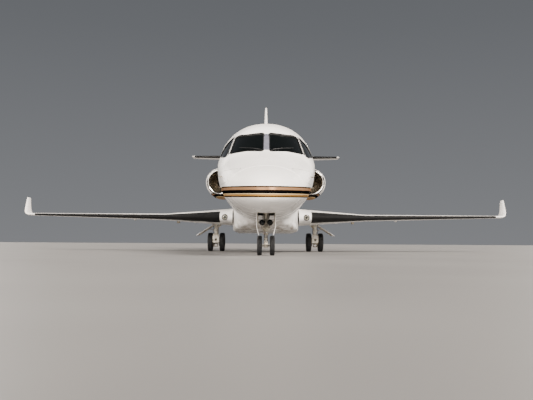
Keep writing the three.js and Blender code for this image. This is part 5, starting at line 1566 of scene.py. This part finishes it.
def put_linings():
    """Trim inside the cockpit, the cabin and the hold, let in from the skin, with walls across between them."""
    def above(mesh, low):
        """What lies above a height."""
        return trimmed(mesh, lambda p: p[:, 2] - low)

    cockpit = above(hull_mesh(steps((2.36, 3.87, 0.03)), COCKPIT_ANGLES, 0.03, True), FLOOR)
    piece("cockpit_lining", trimmed(cockpit, cockpit_gap), DARK_LINING, wall=0.02)
    walls = joined(bulkhead(2.37, 0.06), bulkhead(3.88, 0.06, ((-0.3, 1.1), (0.3, 3.08)), step=0.025))
    piece("cockpit_bulkheads", walls, DARK_LINING, wall=0.01)
    cabin = above(hull_mesh(steps((3.92, 11.86, 0.03)), CABIN_ANGLES, 0.0835, True), FLOOR)
    cabin = trimmed(trimmed(cabin, lambda p: window_gap(p) + 0.003), lambda p: door_gap(p, CABIN_DOOR))
    piece("cabin_lining", cabin, LINING, wall=0.004)
    piece("cabin_rear_bulkhead", bulkhead(11.87, 0.09, step=0.06), VENEER, wall=0.012)
    hold = above(hull_mesh(steps((12.02, 14.6, 0.035)), AFT_ANGLES, 0.064, True), HOLD_FLOOR)
    piece("hold_lining", trimmed(hold, lambda p: door_gap(p, HOLD_DOOR)), LINING, wall=0.004)
    piece("hold_bulkheads", joined(bulkhead(12.0, 0.066, low=HOLD_FLOOR, step=0.06),
                                   bulkhead(14.6, 0.066, low=1.6, step=0.06)), LINING, wall=0.01)
    stations = steps((12.0, 13.85, 0.1))
    x = hull_half(stations, np.full(len(stations), HOLD_FLOOR), 0.066)[:, None] * np.linspace(-1, 1, 9)
    floor = np.stack([x, at(stations)[:, None] + 0 * x, HOLD_FLOOR + 0 * x], -1)
    piece("hold_floor", inverted(grid(floor)), CARPET, wall=0.02)


def put_interior():
    """Floor and panel finishes, seats with padded cushions, a galley cupboard on the right, screens, and the
    control yokes: open rings on short columns."""
    frame["nodes"]["cabin_floor"].data.materials[0] = CARPET
    frame["nodes"]["instrument_panel"].data.materials[0] = BLACK_PLASTIC
    for kind, frames, finish, node, (shells, pads) in (
            ("crew_seat", "frame", BLACK_PLASTIC, "crew_seat_*", crew_seat()),
            ("cabin_seat", "shells", LINING, "cabin_seats_*", cabin_seats())):
        pair(f"{kind}_{frames}", shells, finish, replaces=node, slot="seat_leather")
        for cushions in pair(f"{kind}_cushions", pads, LEATHER, slot="seat_leather"):
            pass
    piece("galley_cupboard_right", flipped(galley_cupboard()), VENEER)
    screens = [slab((x - 0.13, at(2.806), 1.98), (x + 0.13, at(2.8), 2.18), 0.003)
               for x in (-0.62, -0.3, 0.0, 0.3, 0.62)]
    piece("cockpit_displays", joined(*screens), DISPLAY)
    yokes = []
    turn = np.linspace(0.15 * np.pi, 1.85 * np.pi, 24) + np.pi / 2
    for x in (-0.48, 0.48):
        path = np.stack([x + 0.14 * np.cos(turn), np.full(24, at(3.02)), 1.98 + 0.1 * np.sin(turn)], -1)
        yokes += [tube(path, 0.013, 10), rod((x, at(2.8), 1.9), (x, at(3.02), 1.9), 0.018)]
    piece("control_yokes", joined(*yokes), BLACK_PLASTIC)


# Small fittings on the outside

def blade_aerial(station, z, height, chord, sign=1):
    """A swept blade aerial: aerofoil rings that narrow evenly upwards, or downwards, as they slide aft."""
    u = np.linspace(0, 1, 14)
    half = np.concatenate([foil_half(u), -foil_half(u[::-1])[1:-1]]) * 0.02
    along = np.concatenate([u, u[::-1][1:-1]])
    share = np.linspace(0, 1, 8)[:, None]
    y = at(station) + along * (chord * (1 - 0.45 * share)) + 0.5 * height * share
    return capped(np.stack([half * (1 - 0.4 * share), y, z + sign * height * share + 0 * y], -1))


def put_fittings():
    """Aerials, probes, wipers, beacon, scoops and a jack pad. The wipers lie where the body is as wide as their
    points, at the points' heights."""
    aerials = [blade_aerial(5.3, 3.335, 0.16, 0.2), blade_aerial(8.4, 3.34, 0.16, 0.2),
               blade_aerial(4.7, 0.885, 0.14, 0.18, -1), blade_aerial(13.2, 1.1, 0.14, 0.18, -1)]
    piece("blade_aerials", joined(*aerials), PAINT)
    probes, wipers = [], []
    stations = np.linspace(2.0, 3.4, 200)
    for sign in (1, -1):
        for station, z in ((1.62, 1.72), (1.86, 1.5)):
            root = on_hull(station, z, sign)
            tip = root + [sign * 0.06, 0, -0.01]
            path = curve([root - [sign * 0.01, 0, 0], root + [sign * 0.045, -0.01, -0.006], tip + [0, -0.05, 0],
                          tip + [0, -0.17, 0]], 16)
            probes.append(tube(path, np.linspace(0.013, 0.006, 16), 12))
        points = []
        for x, z in ((0.13, 2.385), (0.36, 2.43), (0.62, 2.46)):
            station = float(np.interp(x, hull_half(stations, z), stations))
            points.append((x * sign, at(station) - 0.02, z + 0.012))
        root = (0.1 * sign, points[0][1] - 0.03, 2.345)
        wipers += [tube(curve(points, 20), 0.008, 8), tube(curve([root, *points[:2]], 14), 0.009, 8)]
    piece("pitot_probes", joined(*probes), STEEL)
    piece("windshield_wipers", joined(*wipers), BLACK_PLASTIC)
    beacon = eased([(0.0, 0.575), (0.035, 0.582), (0.05, 0.61), (0.052, 0.645)], 14)
    piece("belly_beacon", turned(beacon, (0, at(8.6), 0), "z", 32), LAMP_RED)
    scoops = [rod((sign * 0.5, at(12.9), 3.2), (sign * 0.52, at(13.05), 3.19), 0.03, 0.035, 20) for sign in (1, -1)]
    piece("air_scoops", joined(*scoops), POLISHED)
    piece("nose_jack_pad", slab((-0.05, at(2.55), 0.855), (0.05, at(2.65), 0.9), 0.006), STEEL)


# Stage, lights and camera

# Broad soft lights: name, heading in degrees from straight ahead, rise above level, strength, breadth
SOFT_LIGHTS = [("key", 38, 36, 8.8, 26), ("fill", -30, 30, 5.9, 44), ("left_edge", 140, 20, 0.9, 34),
               ("right_edge", -140, 20, 1.3, 34)]
FLOOR_REACH = 220.0


def put_stage():
    """A wide pale floor, air that darkens upwards, and broad soft lights at their headings and rises."""
    made, tree = material("studio_floor", Roughness=0.5)
    add(tree, "ValToRGB", {0: blotches(tree, 3.0, 2.0)}, "Base Color", [(0.3, "#767472"), (0.7, "#7e7c7a")])
    data = bpy.data.meshes.new("studio_floor")
    data.from_pydata([(x * FLOOR_REACH, y * FLOOR_REACH, 0) for x, y in ((-1, -1), (1, -1), (1, 1), (-1, 1))], [],
                     [(0, 1, 2, 3)])
    data.materials.append(made)
    floor = bpy.data.objects.new("studio_floor", data)
    bpy.context.scene.collection.objects.link(floor)
    world = bpy.data.worlds.new("studio_air")
    world.use_nodes = True
    sky = world.node_tree
    height = add(sky, "SeparateXYZ", {0: add(sky, "TexCoord").outputs["Generated"]}).outputs["Z"]
    shade = add(sky, "ValToRGB", {0: height}, stops=[(0.0, "#a3a5a9"), (0.3, "#85888d"), (0.9, "#4c4f55")])
    sky.links.new(shade.outputs[0], sky.nodes["Background"].inputs["Color"])
    sky.nodes["Background"].inputs["Strength"].default_value = 0.6
    bpy.context.scene.world = world
    for name, heading, rise, strength, wide in SOFT_LIGHTS:
        data = bpy.data.lights.new(name, "SUN")
        data.energy, data.angle = strength, math.radians(wide)
        data.color = colour("#fff7ee")[:3]
        lamp = bpy.data.objects.new(name, data)
        lamp.rotation_euler = (math.radians(90 - rise), 0, math.radians(heading))
        bpy.context.scene.collection.objects.link(lamp)


def put_camera():
    """Straight ahead of the nose, close to the ground, tipped up by the angle whose tangent is the horizon's way
    below the picture's middle over the focal length, both in pixels."""
    data = bpy.data.cameras.new("photo_camera")
    data.sensor_width = 36.0
    data.lens = CAMERA["focal"] / FRAME_WIDTH * data.sensor_width
    camera = bpy.data.objects.new("photo_camera", data)
    camera.location = (CAMERA["aside"], at(-CAMERA["ahead"]), CAMERA["height"])
    pitch = math.atan(CAMERA["horizon"] / CAMERA["focal"])
    camera.rotation_euler = (math.pi / 2 + pitch, math.radians(CAMERA["roll"]), math.radians(CAMERA["turn"]))
    bpy.context.scene.collection.objects.link(camera)
    bpy.context.scene.camera = camera


put_camera()
put_stage()
put_fuselage()
put_glazing()
put_panels()
put_doors()
put_fairing()
put_wings()
put_landing_lights()
put_wing_trim()
put_tail()
put_engines()
put_nose_leg()
put_nose_fork()
put_nose_bay()
put_main_gear()
put_main_doors()
put_linings()
put_interior()
put_fittings()
